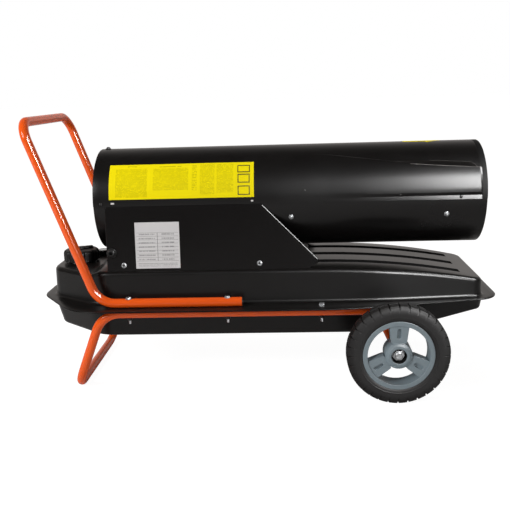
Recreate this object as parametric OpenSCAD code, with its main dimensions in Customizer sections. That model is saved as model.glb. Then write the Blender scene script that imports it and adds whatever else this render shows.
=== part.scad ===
// Wheeled oil-fired forced air heater. Millimetres, +Z up, the warm air leaves along +X.
// The origin lies on the floor, under the middle of the heater.

/* [Barrel] */
// Length of the barrel
barrel_len = 795; // [745:5:795]
// Outer radius of the barrel's upper shell
barrel_r = 107.5; // [107:0.1:108]
// Height of the barrel's axis above the floor
barrel_axis_z = 383; // [382:1:389]
// X of the barrel's intake end
barrel_back_x = -342; // [-345:1:-338]
// Thickness of the barrel's sheet
sheet_t = 1.2; // [0.8:0.1:1.4]
// Radius of the combustion chamber
chamber_r = 76; // [72:1:80]

/* [Tank] */
// Overall length of the tank's seam flange, and of the whole heater
tank_len = 965; // [962:1:972]
// Half of the seam flange's width
flange_half = 182; // [180:1:186]
// Half of the tank's width between its walls
tank_half = 131; // [129:1:132]
// Height of the seam between the tank's two pressed halves
seam_z = 179; // [177:1:181]
// Height of the tank's flat top
tank_top_z = 251.5; // [251:0.5:252]
// Height of the lower deck round the fuel cap
deck_z = 244; // [241:0.5:245]
// Height of the tank's bottom
tank_bottom_z = 107.5; // [107.5:0.5:114]
// Thickness of the tank's sheet
tank_t = 1.5; // [1.2:0.1:1.6]
// Radius of the long arc that lets the tank's top fall towards the outlet
hood_r = 1600; // [1550:10:1700]

/* [Frame] */
// Outer diameter of the frame's tubes
tube_d = 19; // [18.5:0.5:20]
// Wall of the frame's tubes
tube_wall = 1.5; // [1.2:0.1:1.8]
// Half of the distance between the two side tubes
tube_y = 152; // [150:1:154]
// Height of the handle's crossbar
handle_top_z = 557; // [537:5:577]
// Radius of the bends at the ends of the handle's crossbar
handle_top_bend_r = 40; // [36:1:48]
// Radius of the bends at the foot of the handle's legs
handle_knee_bend_r = 50; // [44:1:54]
// Radius of the bends at the ends of the foot bar
stand_foot_bend_r = 40; // [36:1:44]
// Radius of the bends at the top of the stand's legs
stand_knee_bend_r = 56; // [50:1:60]
// Radius of the bends in front of the axle
drop_bend_r = 38; // [34:1:42]

/* [Wheels] */
// Outer diameter of the tyres
wheel_d = 200; // [196:1:204]
// Width of the tyres
tyre_w = 42; // [38:1:44]
// Distance of each wheel's middle plane from the heater's middle
wheel_y = 213; // [212:1:216]
// X of the axle
axle_x = 264; // [255:1:270]
// Diameter of the axle
axle_d = 14; // [12:0.5:15]

/* [Controls] */
// Diameter of the thermostat knob
knob_d = 34; // [30:1:38]
// Diameter of the fuel cap
cap_d = 77; // [74:1:80]

/* [Hidden] */
$fn = 48;

eps = 0.01;          // overlap of tools that cut right through
gap = 0.3;           // air between parts that don't bear on each other
running = 0.05;      // radial clearance of a shaft in its bore

barrel_front_x = barrel_back_x + barrel_len;
inner_shell_r = barrel_r - sheet_t - gap;      // outside of the lower shell, tucked under the upper one
duct_r = inner_shell_r - sheet_t;              // clear radius inside the barrel
lap = 1;                                       // how far the upper shell laps down over the lower one

tank_back_x = -tank_len / 2;
tank_front_x = tank_len / 2;
wall_back_x = tank_back_x + 24.5;
wall_front_x = tank_front_x - 30.5;
taper_x = 171;       // where the flange starts to narrow towards the outlet
taper = tan(11.3);   // how fast it narrows
deck_end_x = -353;   // where the lower deck ends
hood_back_x = -334;  // where the tank's top has reached its full height
hood_start_x = 120;  // where the tank's top starts to fall
rise_x = 269;        // where the tank's bottom starts to rise

tube_r = tube_d / 2;
upper_tube_z = seam_z + tank_t + tube_r;
lower_tube_z = seam_z - tank_t - tube_r;
handle_top_x = -460.5;
handle_knee_x = -333.6;  // where the handle's leg would meet its level run
handle_end_x = -40;
foot_x = -391;
stand_knee_x = -329;
axle_z = wheel_d / 2;
drop_turn = 65;      // how steeply the drops fall to the axle
drop_x = axle_x - (lower_tube_z - axle_z) / tan(drop_turn);   // where the level run would meet the drop
bolt_xs = [-271.5, -70, 120];
bolt_r = 3;

panel_top_z = barrel_axis_z - lap - gap;
panel_foot_z = tank_top_z - 3.9;
panel_top_y = barrel_r;
panel_foot_y = 122;
panel_lean = atan((panel_foot_y - panel_top_y) / (panel_top_z - panel_foot_z));
panel_h = (panel_top_z - panel_foot_z) / cos(panel_lean);
panel_back_x = -318.5;
panel_front_x = 2;
panel_tip_x = 116;

cap_x = -406.5;
hub_r = 27;
hub_w = 44;
nut_recess = 15;
knob_at = [-70, -65];      // on the panel: along X, and down from its top edge
rocker_at = [-140, -65];
gland_at = [-308, -95];

black = [0.10, 0.10, 0.10];
orange = [0.93, 0.33, 0.09];
zinc = [0.75, 0.76, 0.78];

// ---- outlines ----

function unit(v) = v / norm(v);
function at(list, i) = list[(i + len(list)) % len(list)];
// Half of the angle between the two edges that meet at point i.
function half_angle(pts, i) = let (u = unit(at(pts, i - 1) - pts[i]), v = unit(at(pts, i + 1) - pts[i]))
    acos(max(-1, min(1, u * v))) / 2;
// The way from point i towards the inside of a convex outline.
function inward(pts, i) = unit(unit(at(pts, i - 1) - pts[i]) + unit(at(pts, i + 1) - pts[i]));
// A convex outline moved inwards by t.
function inset_outline(pts, t) = [for (i = [0:len(pts) - 1])
    pts[i] + inward(pts, i) * t / sin(half_angle(pts, i))];
// The arc that rounds point i with radius r.
function corner_arc(pts, i, r, steps) =
    let (h = half_angle(pts, i), c = pts[i] + inward(pts, i) * r / sin(h), t = r / tan(h),
        s = pts[i] + unit(at(pts, i - 1) - pts[i]) * t - c, e = pts[i] + unit(at(pts, i + 1) - pts[i]) * t - c,
        a = atan2(s.y, s.x), turn = (atan2(e.y, e.x) - a + 540) % 360 - 180)
    [for (k = [0:steps]) c + r * [cos(a + turn * k / steps), sin(a + turn * k / steps)]];
// A convex outline with a radius at each corner.
function rounded(pts, radii, steps = 6) = [for (i = [0:len(pts) - 1])
    each (radii[i] > 0 ? corner_arc(pts, i, radii[i], steps) : [pts[i]])];
// Both halves of an outline that is the same on either side of the X axis.
function both_sides(pts) = concat(pts, [for (i = [len(pts) - 1:-1:0]) [pts[i].x, -pts[i].y]]);
function mirrored(list) = concat(list, [for (i = [len(list) - 1:-1:0]) list[i]]);

// ---- placing ----

// Children's +Z runs along the barrel, from x towards the outlet.
module axial(x) { translate([x, 0, barrel_axis_z]) rotate([0, 90, 0]) children(); }
// Children's +Z runs along the wheel axle, away from the heater's middle, on the right (-Y).
module on_axle(y) { translate([axle_x, -y, axle_z]) rotate([90, 0, 0]) children(); }
module both_y() { children(); mirror([0, 1, 0]) children(); }
// The right side panel's own frame: X along it, Z down it from its top edge, -Y out of it.
module on_panel(side) {
    mirror([0, side > 0 ? 1 : 0, 0]) translate([0, -panel_top_y, panel_top_z]) rotate([-panel_lean, 0, 0])
        children();
}
module ring(r_out, r_in, h) {
    difference() {
        cylinder(h = h, r = r_out);
        translate([0, 0, -eps]) cylinder(h = h + 2 * eps, r = r_in);
    }
}
module hex(across, h) { cylinder(h = h, r = across / 2 / cos(30), $fn = 6); }
module box(low, high) { translate(low) cube(high - low); }

// A hose is walked along: each stretch starts where the last one ended, along its own +Z.
module run(length, r) {
    cylinder(h = length, r = r);
    translate([0, 0, length]) children();
}
module bend(turn, towards, r, bend_r) {
    rotate([0, 0, towards]) {
        translate([bend_r, 0, 0]) rotate([90, 0, 0]) mirror([1, 0, 0])
            rotate_extrude(angle = turn) translate([bend_r, 0]) circle(r = r);
        translate([bend_r * (1 - cos(turn)), 0, bend_r * sin(turn)]) rotate([0, turn, 0]) children();
    }
}

// ---- tank ----

pan_out = 7.4;       // how far the lower pressing stands out behind the upper one
function wall_points(out) = both_sides([[wall_back_x - out, -48], [wall_back_x + 115, -tank_half],
    [taper_x + 79, -tank_half], [wall_front_x, -tank_half + 19]]);
wall_radii = mirrored([45, 95, 800, 24]);
function flange_points() = both_sides([[tank_back_x, -45], [tank_back_x + 101, -flange_half],
    [taper_x, -flange_half], [tank_front_x, -flange_half + (tank_front_x - taper_x) * taper]]);
flange_radii = mirrored([60, 110, 600, 50]);
skirt = 30;          // how far the profiles run past the seam, where they are cut off

module wall_plan(t, out = 0) { polygon(rounded(inset_outline(wall_points(out), t), [for (r = wall_radii) r - t], 8)); }
module flange_plan() { polygon(rounded(flange_points(), flange_radii, 10)); }

// Side view of the upper half: the low deck, the level top, then a long arc down to the outlet end.
module upper_side(t) {
    r = hood_r - t;
    fall = asin((wall_front_x - 4 - hood_start_x) / hood_r);
    back = wall_back_x + t;
    polygon(concat(
        [[back, seam_z - skirt]],
        corner_arc([[back, seam_z - skirt], [back + 3, deck_z - t], [deck_end_x, deck_z - t]], 1, 12 - t, 5),
        [[deck_end_x, deck_z - t], [hood_back_x, tank_top_z - t]],
        [for (k = [0:12]) let (a = fall * k / 12) [hood_start_x + r * sin(a), tank_top_z - hood_r + r * cos(a)]],
        [[wall_front_x - t, tank_top_z - hood_r + r * cos(fall) - 12], [wall_front_x - t, seam_z - skirt]]));
}
// End view of the upper half: upright walls, a tight edge and a slightly crowned top.
module upper_end(t) {
    w = tank_half - t;
    polygon(rounded([[-w, seam_z - skirt], [-w + 1.5, tank_top_z - 5.5 - t], [-85, tank_top_z - t],
        [85, tank_top_z - t], [w - 1.5, tank_top_z - 5.5 - t], [w, seam_z - skirt]], [0, 9 - t, 60, 60, 9 - t, 0]));
}
module lower_side(t) {
    polygon(rounded(inset_outline([[wall_back_x - pan_out, seam_z + skirt], [wall_back_x - 5, seam_z],
        [wall_back_x + 7.6, tank_bottom_z + 6.5], [-345, tank_bottom_z], [rise_x, tank_bottom_z],
        [wall_front_x - 1, tank_bottom_z + 42.9], [wall_front_x - 0.5, seam_z], [wall_front_x, seam_z + skirt]], t),
        [0, 0, 10 - t, 60, 60, 16 - t, 0, 0]));
}
module lower_end(t) {
    w = tank_half - t;
    z = tank_bottom_z + t;
    polygon(rounded([[-w, seam_z + skirt], [-w, seam_z], [-w + 12, z], [w - 12, z], [w, seam_z], [w, seam_z + skirt]],
        [0, 0, 10 - t, 10 - t, 0, 0]));
}
module upper_form(t) {
    intersection() {
        translate([0, 0, seam_z - (t > 0 ? 1 : 0)]) linear_extrude(100) wall_plan(t);
        translate([0, 200, 0]) rotate([90, 0, 0]) linear_extrude(400) upper_side(t);
        translate([-500, 0, 0]) rotate([90, 0, 90]) linear_extrude(1000) upper_end(t);
    }
}
module lower_form(t) {
    intersection() {
        translate([0, 0, seam_z - 100 + (t > 0 ? 1 : 0)]) linear_extrude(100) wall_plan(t, pan_out);
        translate([0, 200, 0]) rotate([90, 0, 0]) linear_extrude(400) lower_side(t);
        translate([-500, 0, 0]) rotate([90, 0, 90]) linear_extrude(1000) lower_end(t);
    }
}
groove_ys = [-69, 0, 69];
groove_w = 18;
groove_deep = 6;
groove_start_x = 96;
groove_end_x = 401;

// The upright slots that the grooves in the tank's top lie in.
module groove_slots(grow) {
    for (y = groove_ys) translate([0, y, seam_z + 10]) linear_extrude(90) {
        translate([groove_start_x, -groove_w / 2 - grow])
            square([groove_end_x - groove_start_x, groove_w + 2 * grow]);
        for (x = [groove_start_x, groove_end_x]) translate([x, 0]) circle(r = groove_w / 2 + grow);
    }
}
module bolt_holes() {
    for (x = bolt_xs, y = [-tube_y, tube_y]) translate([x, y, 100]) cylinder(h = 120, r = bolt_r + gap);
}
module tank_upper() {
    color(black) difference() {
        union() {
            difference() {
                union() {
                    upper_form(0);
                    translate([0, 0, seam_z]) linear_extrude(tank_t) flange_plan();
                }
                upper_form(tank_t);
            }
            difference() {
                intersection() {
                    upper_form(0);
                    groove_slots(tank_t);
                }
                upper_form(groove_deep + tank_t);
            }
        }
        difference() {
            groove_slots(0);
            translate([0, 200, 0]) rotate([90, 0, 0]) linear_extrude(400) upper_side(groove_deep);
        }
        bolt_holes();
        translate([cap_x, 0, 200]) cylinder(h = 60, r = neck_r + gap);
        translate([gauge_at.x, gauge_at.y, 200]) cylinder(h = 60, r = gauge_stem_r + gap);
        translate([pickup_at.x, pickup_at.y, 200]) cylinder(h = 60, r = pickup_r + gap);
    }
}
module tank_lower() {
    color(black) difference() {
        union() {
            lower_form(0);
            translate([0, 0, seam_z - tank_t]) linear_extrude(tank_t) flange_plan();
        }
        lower_form(tank_t);
        bolt_holes();
        translate([drain_x, 0, 90]) cylinder(h = 30, r = drain_r + gap);
    }
}

// ---- filler, gauge and drain ----

neck_r = 26;
neck_wall = 2;
neck_top_z = 258;
gasket_t = 2.5;
cap_h = 34;
gauge_at = [-375, 62];
gauge_stem_r = 9;
float_pivot = [-375, 62, 227];
pickup_at = [-120, 24];
pickup_r = 8;
drain_x = -300;
drain_r = 7;
strainer_z = 192;

module filler_neck() {
    color(zinc) translate([cap_x, 0, 0]) {
        translate([0, 0, deck_z - 10]) ring(neck_r, neck_r - neck_wall, neck_top_z - deck_z + 10);
        translate([0, 0, deck_z + gap]) ring(neck_r + 4, neck_r - 1, 2);
    }
}
module filler_strainer() {
    color([0.85, 0.85, 0.8]) translate([cap_x, 0, 0]) difference() {
        union() {
            translate([0, 0, strainer_z]) cylinder(h = neck_top_z - strainer_z, r = neck_r - neck_wall - gap);
            translate([0, 0, neck_top_z]) cylinder(h = 1.2, r = neck_r);
        }
        translate([0, 0, strainer_z + 1.2]) cylinder(h = 90, r = neck_r - neck_wall - gap - 1.2);
        for (a = [0:60:120], z = [strainer_z + 10, strainer_z + 24]) translate([0, 0, z]) rotate([90, 0, a])
            translate([0, 0, -40]) cylinder(h = 80, r = 5);
    }
}
module cap_gasket() {
    color([0.15, 0.15, 0.15]) translate([cap_x, 0, neck_top_z + 1.2 + gap]) ring(neck_r, neck_r - 8, gasket_t);
}
// A deep cap with a skirt round the neck and six finger flutes.
module fuel_cap() {
    base = neck_top_z + 1.2 + gasket_t + 2 * gap;
    skirt_z = deck_z + 3.5;
    color(black) translate([cap_x, 0, 0]) difference() {
        union() {
            translate([0, 0, skirt_z]) cylinder(h = base + 6 - skirt_z, r = cap_d / 2);
            translate([0, 0, base + 6]) cylinder(h = 4, r1 = cap_d / 2, r2 = cap_d / 2 - 5, $fn = 48);
            translate([0, 0, base + 8]) intersection() {
                cylinder(h = 7, r = cap_d / 2 - 8);
                box([-40, -7, 0], [40, 7, 7]);
            }
        }
        translate([0, 0, skirt_z - 1]) cylinder(h = base - skirt_z + 1, r = neck_r + 4 + gap);
        for (a = [0:30:330]) rotate([0, 0, a]) translate([cap_d / 2 + 4, 0, skirt_z - 1])
            cylinder(h = base + 4 - skirt_z, r = 6.5);
    }
}
// The gauge: a bezel with a window, on a stem that goes down into the tank.
module fuel_gauge() {
    color(black) translate([gauge_at.x, gauge_at.y, 0]) {
        translate([0, 0, deck_z + gap]) difference() {
            cylinder(h = 11, r = 15);
            translate([0, 0, 5]) cylinder(h = 10, r = 13);
            translate([0, 0, -eps]) cylinder(h = 20, r = 1.5 + running);
        }
        difference() {
            translate([0, 0, float_pivot.z - 12]) cylinder(h = deck_z + 1 - float_pivot.z + 12, r = gauge_stem_r);
            translate([0, 0, 150]) cylinder(h = 130, r = 1.5 + running);
            box([-20, -3, float_pivot.z - 20], [20, 3, float_pivot.z + 6]);
            translate([0, 20, float_pivot.z]) rotate([90, 0, 0]) cylinder(h = 40, r = 1.5);
        }
    }
}
module gauge_pointer() {
    color([0.85, 0.15, 0.1]) translate([gauge_at.x, gauge_at.y, 0]) {
        translate([0, 0, float_pivot.z + 8]) cylinder(h = deck_z + 8 - float_pivot.z - 8, r = 1.5);
        translate([0, 0, deck_z + 6]) box([-4, -1, 0], [11, 1, 1.5]);
    }
}
// The float's lever: its pivot pin runs across the stem, its ball lies low in an empty tank.
float_drop = 25;     // how far the float's arm hangs below level
module float_arm() {
    color("tan") translate(float_pivot) {
        translate([0, 8.5, 0]) rotate([90, 0, 0]) cylinder(h = 17, r = 1.5 - running);
        rotate([0, float_drop, 0]) {
            translate([-1, -1.5, -1.5]) cube([170, 3, 3]);
            translate([182, 0, 0]) sphere(r = 14);
        }
    }
}
module drain_plug() {
    color(zinc) translate([drain_x, 0, 0]) {
        translate([0, 0, tank_bottom_z - 8 - gap]) hex(17, 8);
        translate([0, 0, tank_bottom_z - gap - eps]) cylinder(h = 10, r = drain_r);
    }
}

// ---- frame ----

handle_lean = atan2(handle_knee_x - handle_top_x, handle_top_z - upper_tube_z);
handle_leg = norm([handle_knee_x - handle_top_x, handle_top_z - upper_tube_z]);
handle_turn = 90 - handle_lean;
stand_lean = atan2(stand_knee_x - foot_x, lower_tube_z - tube_r);
stand_leg = norm([stand_knee_x - foot_x, lower_tube_z - tube_r]);
stand_turn = 90 - stand_lean;

tube_lap = 0.4;      // how far the straight stretches run into the bends
bend_slim = 0.05;    // how much slimmer the tube is in its bends

// A bend in the XY plane, round the origin, from the +X axis through turn degrees.
module tube_bend(r, bend_r, turn) { rotate_extrude(angle = turn) translate([bend_r, 0]) circle(r = r - bend_slim); }
// A level stretch along X on the right side.
module level_run(x0, x1, z, r) { translate([x0, -tube_y, z]) rotate([0, 90, 0]) cylinder(h = x1 - x0, r = r); }
// The right side's upright plane, with its origin at x and z: local Y is up.
module side_plane(x, z) { translate([x, -tube_y, z]) rotate([90, 0, 0]) children(); }
// Crossbar and legs of a U in the YZ plane, open downwards; its legs start at z = from.
module u_tube(from, leg, bend_r, r) {
    straight_y = tube_y - bend_r;
    both_y() {
        translate([0, -tube_y, from - tube_lap]) cylinder(h = leg - bend_r - from + 2 * tube_lap, r = r);
        translate([0, -straight_y, leg - bend_r]) rotate([90, 0, 90]) rotate([0, 0, 90]) tube_bend(r, bend_r, 90);
    }
    translate([0, straight_y + tube_lap, leg]) rotate([90, 0, 0]) cylinder(h = 2 * (straight_y + tube_lap), r = r);
}
// The handle: its U, its knees, and the level runs on the flange, which go more past their open ends.
module handle_form(r, more) {
    knee = handle_knee_bend_r * tan(handle_turn / 2);
    both_y() {
        level_run(handle_knee_x + knee - tube_lap, handle_end_x + more, upper_tube_z, r);
        side_plane(handle_knee_x + knee, upper_tube_z + handle_knee_bend_r)
            mirror([1, 0, 0]) rotate([0, 0, -90]) tube_bend(r, handle_knee_bend_r, handle_turn);
    }
    translate([handle_knee_x, 0, upper_tube_z]) rotate([0, -handle_lean, 0])
        u_tube(knee, handle_leg, handle_top_bend_r, r);
}
// The stand: its U, the level runs under the flange, and the drops that hold the axle.
module stand_form(r, more) {
    knee = stand_knee_bend_r * tan(stand_turn / 2);
    drop = drop_bend_r * tan(drop_turn / 2);
    both_y() {
        level_run(stand_knee_x + knee - tube_lap, drop_x - drop + tube_lap, lower_tube_z, r);
        side_plane(stand_knee_x + knee, lower_tube_z - stand_knee_bend_r)
            rotate([0, 0, 90]) tube_bend(r, stand_knee_bend_r, stand_turn);
        side_plane(drop_x - drop, lower_tube_z - drop_bend_r)
            mirror([1, 0, 0]) rotate([0, 0, 90]) tube_bend(r, drop_bend_r, drop_turn);
        translate([drop_x, -tube_y, lower_tube_z]) rotate([0, 180 - drop_turn, 0]) translate([0, 0, drop - tube_lap])
            cylinder(h = norm([axle_x - drop_x, lower_tube_z - axle_z]) - drop + tube_lap + past_axle + more, r = r);
    }
    translate([stand_knee_x, 0, lower_tube_z]) rotate([0, stand_lean, 0]) mirror([0, 0, 1])
        u_tube(knee, stand_leg, stand_foot_bend_r, r);
}
past_axle = 16;      // how far the drops run past the axle
bolt_seat = 0.8;     // depth of the flats that the bolt heads and nuts sit on
bolt_end_z = lower_tube_z - tube_r - 12.5;

module handle_tube() {
    color(orange) difference() {
        handle_form(tube_r, 0);
        handle_form(tube_r - tube_wall, 1);
        bolt_holes();
        for (x = [bolt_xs[0], bolt_xs[1]], y = [-tube_y, tube_y])
            translate([x, y, upper_tube_z + tube_r - bolt_seat]) cylinder(h = 5, r = 7);
    }
}
module lower_frame_tube() {
    color(orange) difference() {
        stand_form(tube_r, 0);
        stand_form(tube_r - tube_wall, 1);
        bolt_holes();
        for (x = bolt_xs, y = [-tube_y, tube_y])
            translate([x, y, lower_tube_z - tube_r - 5 + bolt_seat]) cylinder(h = 5, r = 7);
        on_axle(-180) cylinder(h = 360, r = axle_d / 2 + running);
    }
}
module tube_end_plugs() {
    color(black) both_y() translate([handle_end_x, -tube_y, upper_tube_z]) rotate([0, 90, 0]) {
        translate([0, 0, -12]) cylinder(h = 12 + eps, r = tube_r - tube_wall);
        cylinder(h = 1.5, r = tube_r);
    }
}
// Hex bolts through both tubes and the flange, and a short pair through the flange and lower tube.
module frame_bolts() {
    color(zinc) both_y() for (i = [0:2]) {
        head_z = i < 2 ? upper_tube_z + tube_r - bolt_seat : seam_z + tank_t;
        translate([bolt_xs[i], -tube_y, head_z]) {
            hex(10, 4);
            translate([0, 0, bolt_end_z - head_z]) cylinder(h = head_z - bolt_end_z + eps, r = bolt_r);
        }
    }
}
module frame_nuts() {
    color(zinc) both_y() for (x = bolt_xs) translate([x, -tube_y, lower_tube_z - tube_r + bolt_seat - 5])
        difference() {
            hex(10, 5);
            translate([0, 0, -1]) cylinder(h = 7, r = bolt_r);
        }
}

// ---- wheels ----

hub_in_y = wheel_y - hub_w / 2;      // the hub's inner face
hub_out_y = wheel_y + hub_w / 2;
rim_r = 69;
seat_r = 65;
window_r = 60;
rim_w = 38;
slot_in = hub_r + 11;     // the middles of the recess's round ends in each spoke
slot_out = window_r - 9.5;
slot_r = 4.2;

axle_half = hub_out_y - 3;           // the axle ends inside the hubs' recesses

module axle() { color(zinc) on_axle(-axle_half) cylinder(h = 2 * axle_half, r = axle_d / 2); }
module axle_spacers() {
    color(black) both_y() on_axle(tube_y + tube_r + gap)
        ring(axle_d / 2 + 4, axle_d / 2 + running, hub_in_y - tube_y - tube_r - 2 * gap);
}
// A wide spoke between hub and rim, with a long recess in its face.
module spoke() {
    difference() {
        translate([0, 0, -11]) linear_extrude(22)
            polygon([[hub_r - 4, -13], [window_r + 2, -20], [window_r + 2, 20], [hub_r - 4, 13]]);
        for (z = [-12, 5]) translate([0, 0, z]) {
            box([slot_in, -slot_r, 0], [slot_out, slot_r, 7]);
            for (x = [slot_in, slot_out]) translate([x, 0, 0]) cylinder(h = 7, r = slot_r);
        }
    }
}
module wheel_rim() {
    half = rim_w / 2;
    color([0.50, 0.55, 0.58]) on_axle(wheel_y) difference() {
        union() {
            rotate_extrude() polygon([[window_r, -half], [rim_r, -half], [rim_r, -half + 4], [seat_r, -half + 7],
                [seat_r, half - 7], [rim_r, half - 4], [rim_r, half], [window_r, half]]);
            translate([0, 0, -hub_w / 2]) cylinder(h = hub_w, r = hub_r);
            for (a = [90:120:330]) rotate([0, 0, a]) spoke();
        }
        translate([0, 0, -50]) cylinder(h = 100, r = axle_d / 2 + running);
        translate([0, 0, hub_w / 2 - nut_recess]) cylinder(h = 20, r = 15);
    }
}
module tyre() {
    half = tyre_w / 2;
    r = wheel_d / 2;
    color([0.09, 0.09, 0.09]) on_axle(wheel_y) rotate_extrude($fn = 96) polygon(concat(
        [[seat_r, -12], [rim_r, -15], [rim_r, -17], [rim_r + 6, -half + 1], [r - 16, -half]],
        corner_arc([[r - 16, -half], [r - 3, -half + 1], [r, 0]], 1, 8, 5),
        [[r, -8], [r - 3, -6], [r - 3, 6], [r, 8]],
        corner_arc([[r, 0], [r - 3, half - 1], [r - 16, half]], 1, 8, 5),
        [[r - 16, half], [rim_r + 6, half - 1], [rim_r, 17], [rim_r, 15], [seat_r, 12]]));
}
module axle_washers() {
    color(zinc) both_y() on_axle(hub_out_y - nut_recess + gap) ring(12, axle_d / 2 + running, 1.5);
}
module axle_nuts() {
    color(zinc) both_y() on_axle(hub_out_y - nut_recess + 1.5 + 2 * gap) difference() {
        hex(19, 7);
        translate([0, 0, -1]) cylinder(h = 9, r = axle_d / 2);
    }
}

// ---- barrel ----

wing_start_x = 120;
wing_end_x = barrel_front_x - 12;
wing_rise = 8;       // how far the wing stands out of the barrel at its outlet end

function rim_point(r, a) = [-r * cos(a), r * sin(a)];   // a is the height above the seam, in degrees
// Cross-section of the wing where it stands out by rise; its chord lies inside the barrel.
module wing_section(rise, top_a, edge_a, t) {
    polygon([rim_point(barrel_r - 9 - t, 24), rim_point(barrel_r - 0.6 - t, top_a), rim_point(barrel_r + rise - t, edge_a),
        rim_point(barrel_r + rise - t, 22), rim_point(barrel_r + rise - t, 11), rim_point(barrel_r - 0.6 - t, 5)]);
}
// Children's Z runs along +X and their XY plane is the barrel's cross-section, X towards +Y.
module section_at(x) { translate([x, 0, barrel_axis_z]) rotate([90, 0, 90]) children(); }
module wing(t) {
    hull() {
        section_at(wing_start_x) linear_extrude(0.2) wing_section(0, 56, 50, t);
        section_at(wing_end_x - t) linear_extrude(0.2) wing_section(wing_rise, 41, 32, t);
    }
}
module upper_shell() {
    color(black) difference() {
        union() {
            axial(barrel_back_x) cylinder(h = barrel_len, r = barrel_r, $fn = 96);
            both_y() wing(0);
        }
        axial(barrel_back_x - 1) cylinder(h = barrel_len + 2, r = barrel_r - sheet_t, $fn = 96);
        both_y() wing(sheet_t);
        box([barrel_back_x - 5, -150, 200], [barrel_front_x + 5, 150, barrel_axis_z - lap]);
        shell_screw_places(0) cylinder(h = 20, r = 2.3, center = true);
    }
}
module lower_shell() {
    color(black) difference() {
        axial(barrel_back_x) ring(inner_shell_r, duct_r, barrel_len, $fn = 96);
        box([barrel_back_x - 5, -150, barrel_axis_z + 8], [barrel_front_x + 5, 150, 520]);
        for (p = [[hose_x, 0], [hose_x, pickup_at.y], [pump_port_x, 0]]) translate([p.x, p.y, 255])
            cylinder(h = 40, r = 7);
        for (y = [-60, 60]) translate([0, y, 240]) cylinder(h = 80, r = 7);
        shell_screw_places(1) cylinder(h = 20, r = 2.3, center = true);
        bracket_screw_places() cylinder(h = 20, r = 2.3, center = true);
    }
}
// Self-tapping screws: along the seam on both sides (0), and lower down, into the chamber's straps (1).
seam_screw_xs = [-326, 400];
strap_screw_xs = [62, 374];
module radial_at(x, a) { translate([x, 0, barrel_axis_z]) rotate([a, 0, 0]) translate([0, -barrel_r, 0])
    rotate([90, 0, 0]) children(); }
module shell_screw_places(lower) {
    both_y() for (x = lower == 0 ? seam_screw_xs : strap_screw_xs)
        radial_at(x, lower == 0 ? -2 : 17) children();
    if (lower == 1) both_y() for (x = seam_screw_xs) radial_at(x, -2) children();
    if (lower == 0) radial_at(-328, -90) children();
}
module bracket_screw_places() { both_y() radial_at(motor_mid_x, 50) children(); }

// Pan-head screw, its head's seat at z = 0 and its tip inwards.
module screw(head_r, length) {
    cylinder(h = 2.2, r = head_r);
    translate([0, 0, -length]) cylinder(h = length + eps, r = 2);
}
module shell_screws() {
    color(zinc) {
        both_y() for (x = seam_screw_xs) radial_at(x, -2) translate([0, 0, gap]) screw(3.5, 6);
        both_y() for (x = strap_screw_xs) radial_at(x, 17) translate([0, 0, -sheet_t]) screw(4.6, 7);
        both_y() radial_at(motor_mid_x, 50) translate([0, 0, -sheet_t]) screw(3.5, 7);
        radial_at(-328, -90) translate([0, 0, gap]) screw(3.5, 6);
    }
}

// ---- pedestal ----

panel_slope = (panel_tip_x - panel_front_x) / (panel_h - 20);
panel_flange = 12;
// The panel's outline: X along it and Y down it (negative).
function panel_points() = [[panel_back_x, 0], [panel_front_x, 0], [panel_tip_x, -panel_h + 20],
    [panel_tip_x - 1, -panel_h + 12], [panel_tip_x - 22, -panel_h], [panel_back_x, -panel_h]];

module side_panel_form() {
    difference() {
        union() {
            rotate([90, 0, 0]) translate([0, 0, -sheet_t]) linear_extrude(sheet_t)
                polygon(rounded(panel_points(), [3, 4, 3, 5, 10, 3], 4));
            box([panel_back_x, 0, -panel_h + 4], [panel_back_x + sheet_t, panel_flange, -95]);
            translate([panel_tip_x - 2, 0, -panel_h + 18]) rotate([0, -atan(panel_slope), 0])
                box([-sheet_t, 0, 4], [0, panel_flange, 50]);
        }
        for (x = panel_screw_xs) translate([x, -5, -panel_h + panel_screw_up]) rotate([-90, 0, 0])
            cylinder(h = 10, r = 2.3);
    }
}
panel_screw_xs = [-283, -4];
panel_screw_up = 14;      // height of the screws above the panel's foot
gland_r = 6;

module right_side_panel() {
    color(black) on_panel(-1) difference() {
        side_panel_form();
        translate([gland_at.x, -5, gland_at.y]) rotate([-90, 0, 0]) cylinder(h = 10, r = gland_r + gap);
    }
}
module left_side_panel() {
    color(black) difference() {
        on_panel(1) side_panel_form();
        on_panel(1) {
            translate([knob_at.x, -5, knob_at.y]) rotate([-90, 0, 0]) cylinder(h = 10, r = 5);
            box([rocker_at.x - 11, -5, rocker_at.y - 7], [rocker_at.x + 11, 5, rocker_at.y + 7]);
        }
    }
}
// Upright plate across the intake end, between the two panels and under the barrel.
module rear_plate() {
    x = panel_back_x + sheet_t + gap;
    color(black) difference() {
        section_at(x) linear_extrude(sheet_t) polygon([[-106, -70], [-foot_w, -barrel_axis_z + plate_foot_z],
            [foot_w, -barrel_axis_z + plate_foot_z], [106, -70]]);
        axial(x - 5) cylinder(h = 10, r = inner_shell_r + gap);
    }
}
plate_foot_z = tank_top_z + gap;
foot_w = panel_foot_y - sheet_t - 3;

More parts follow.
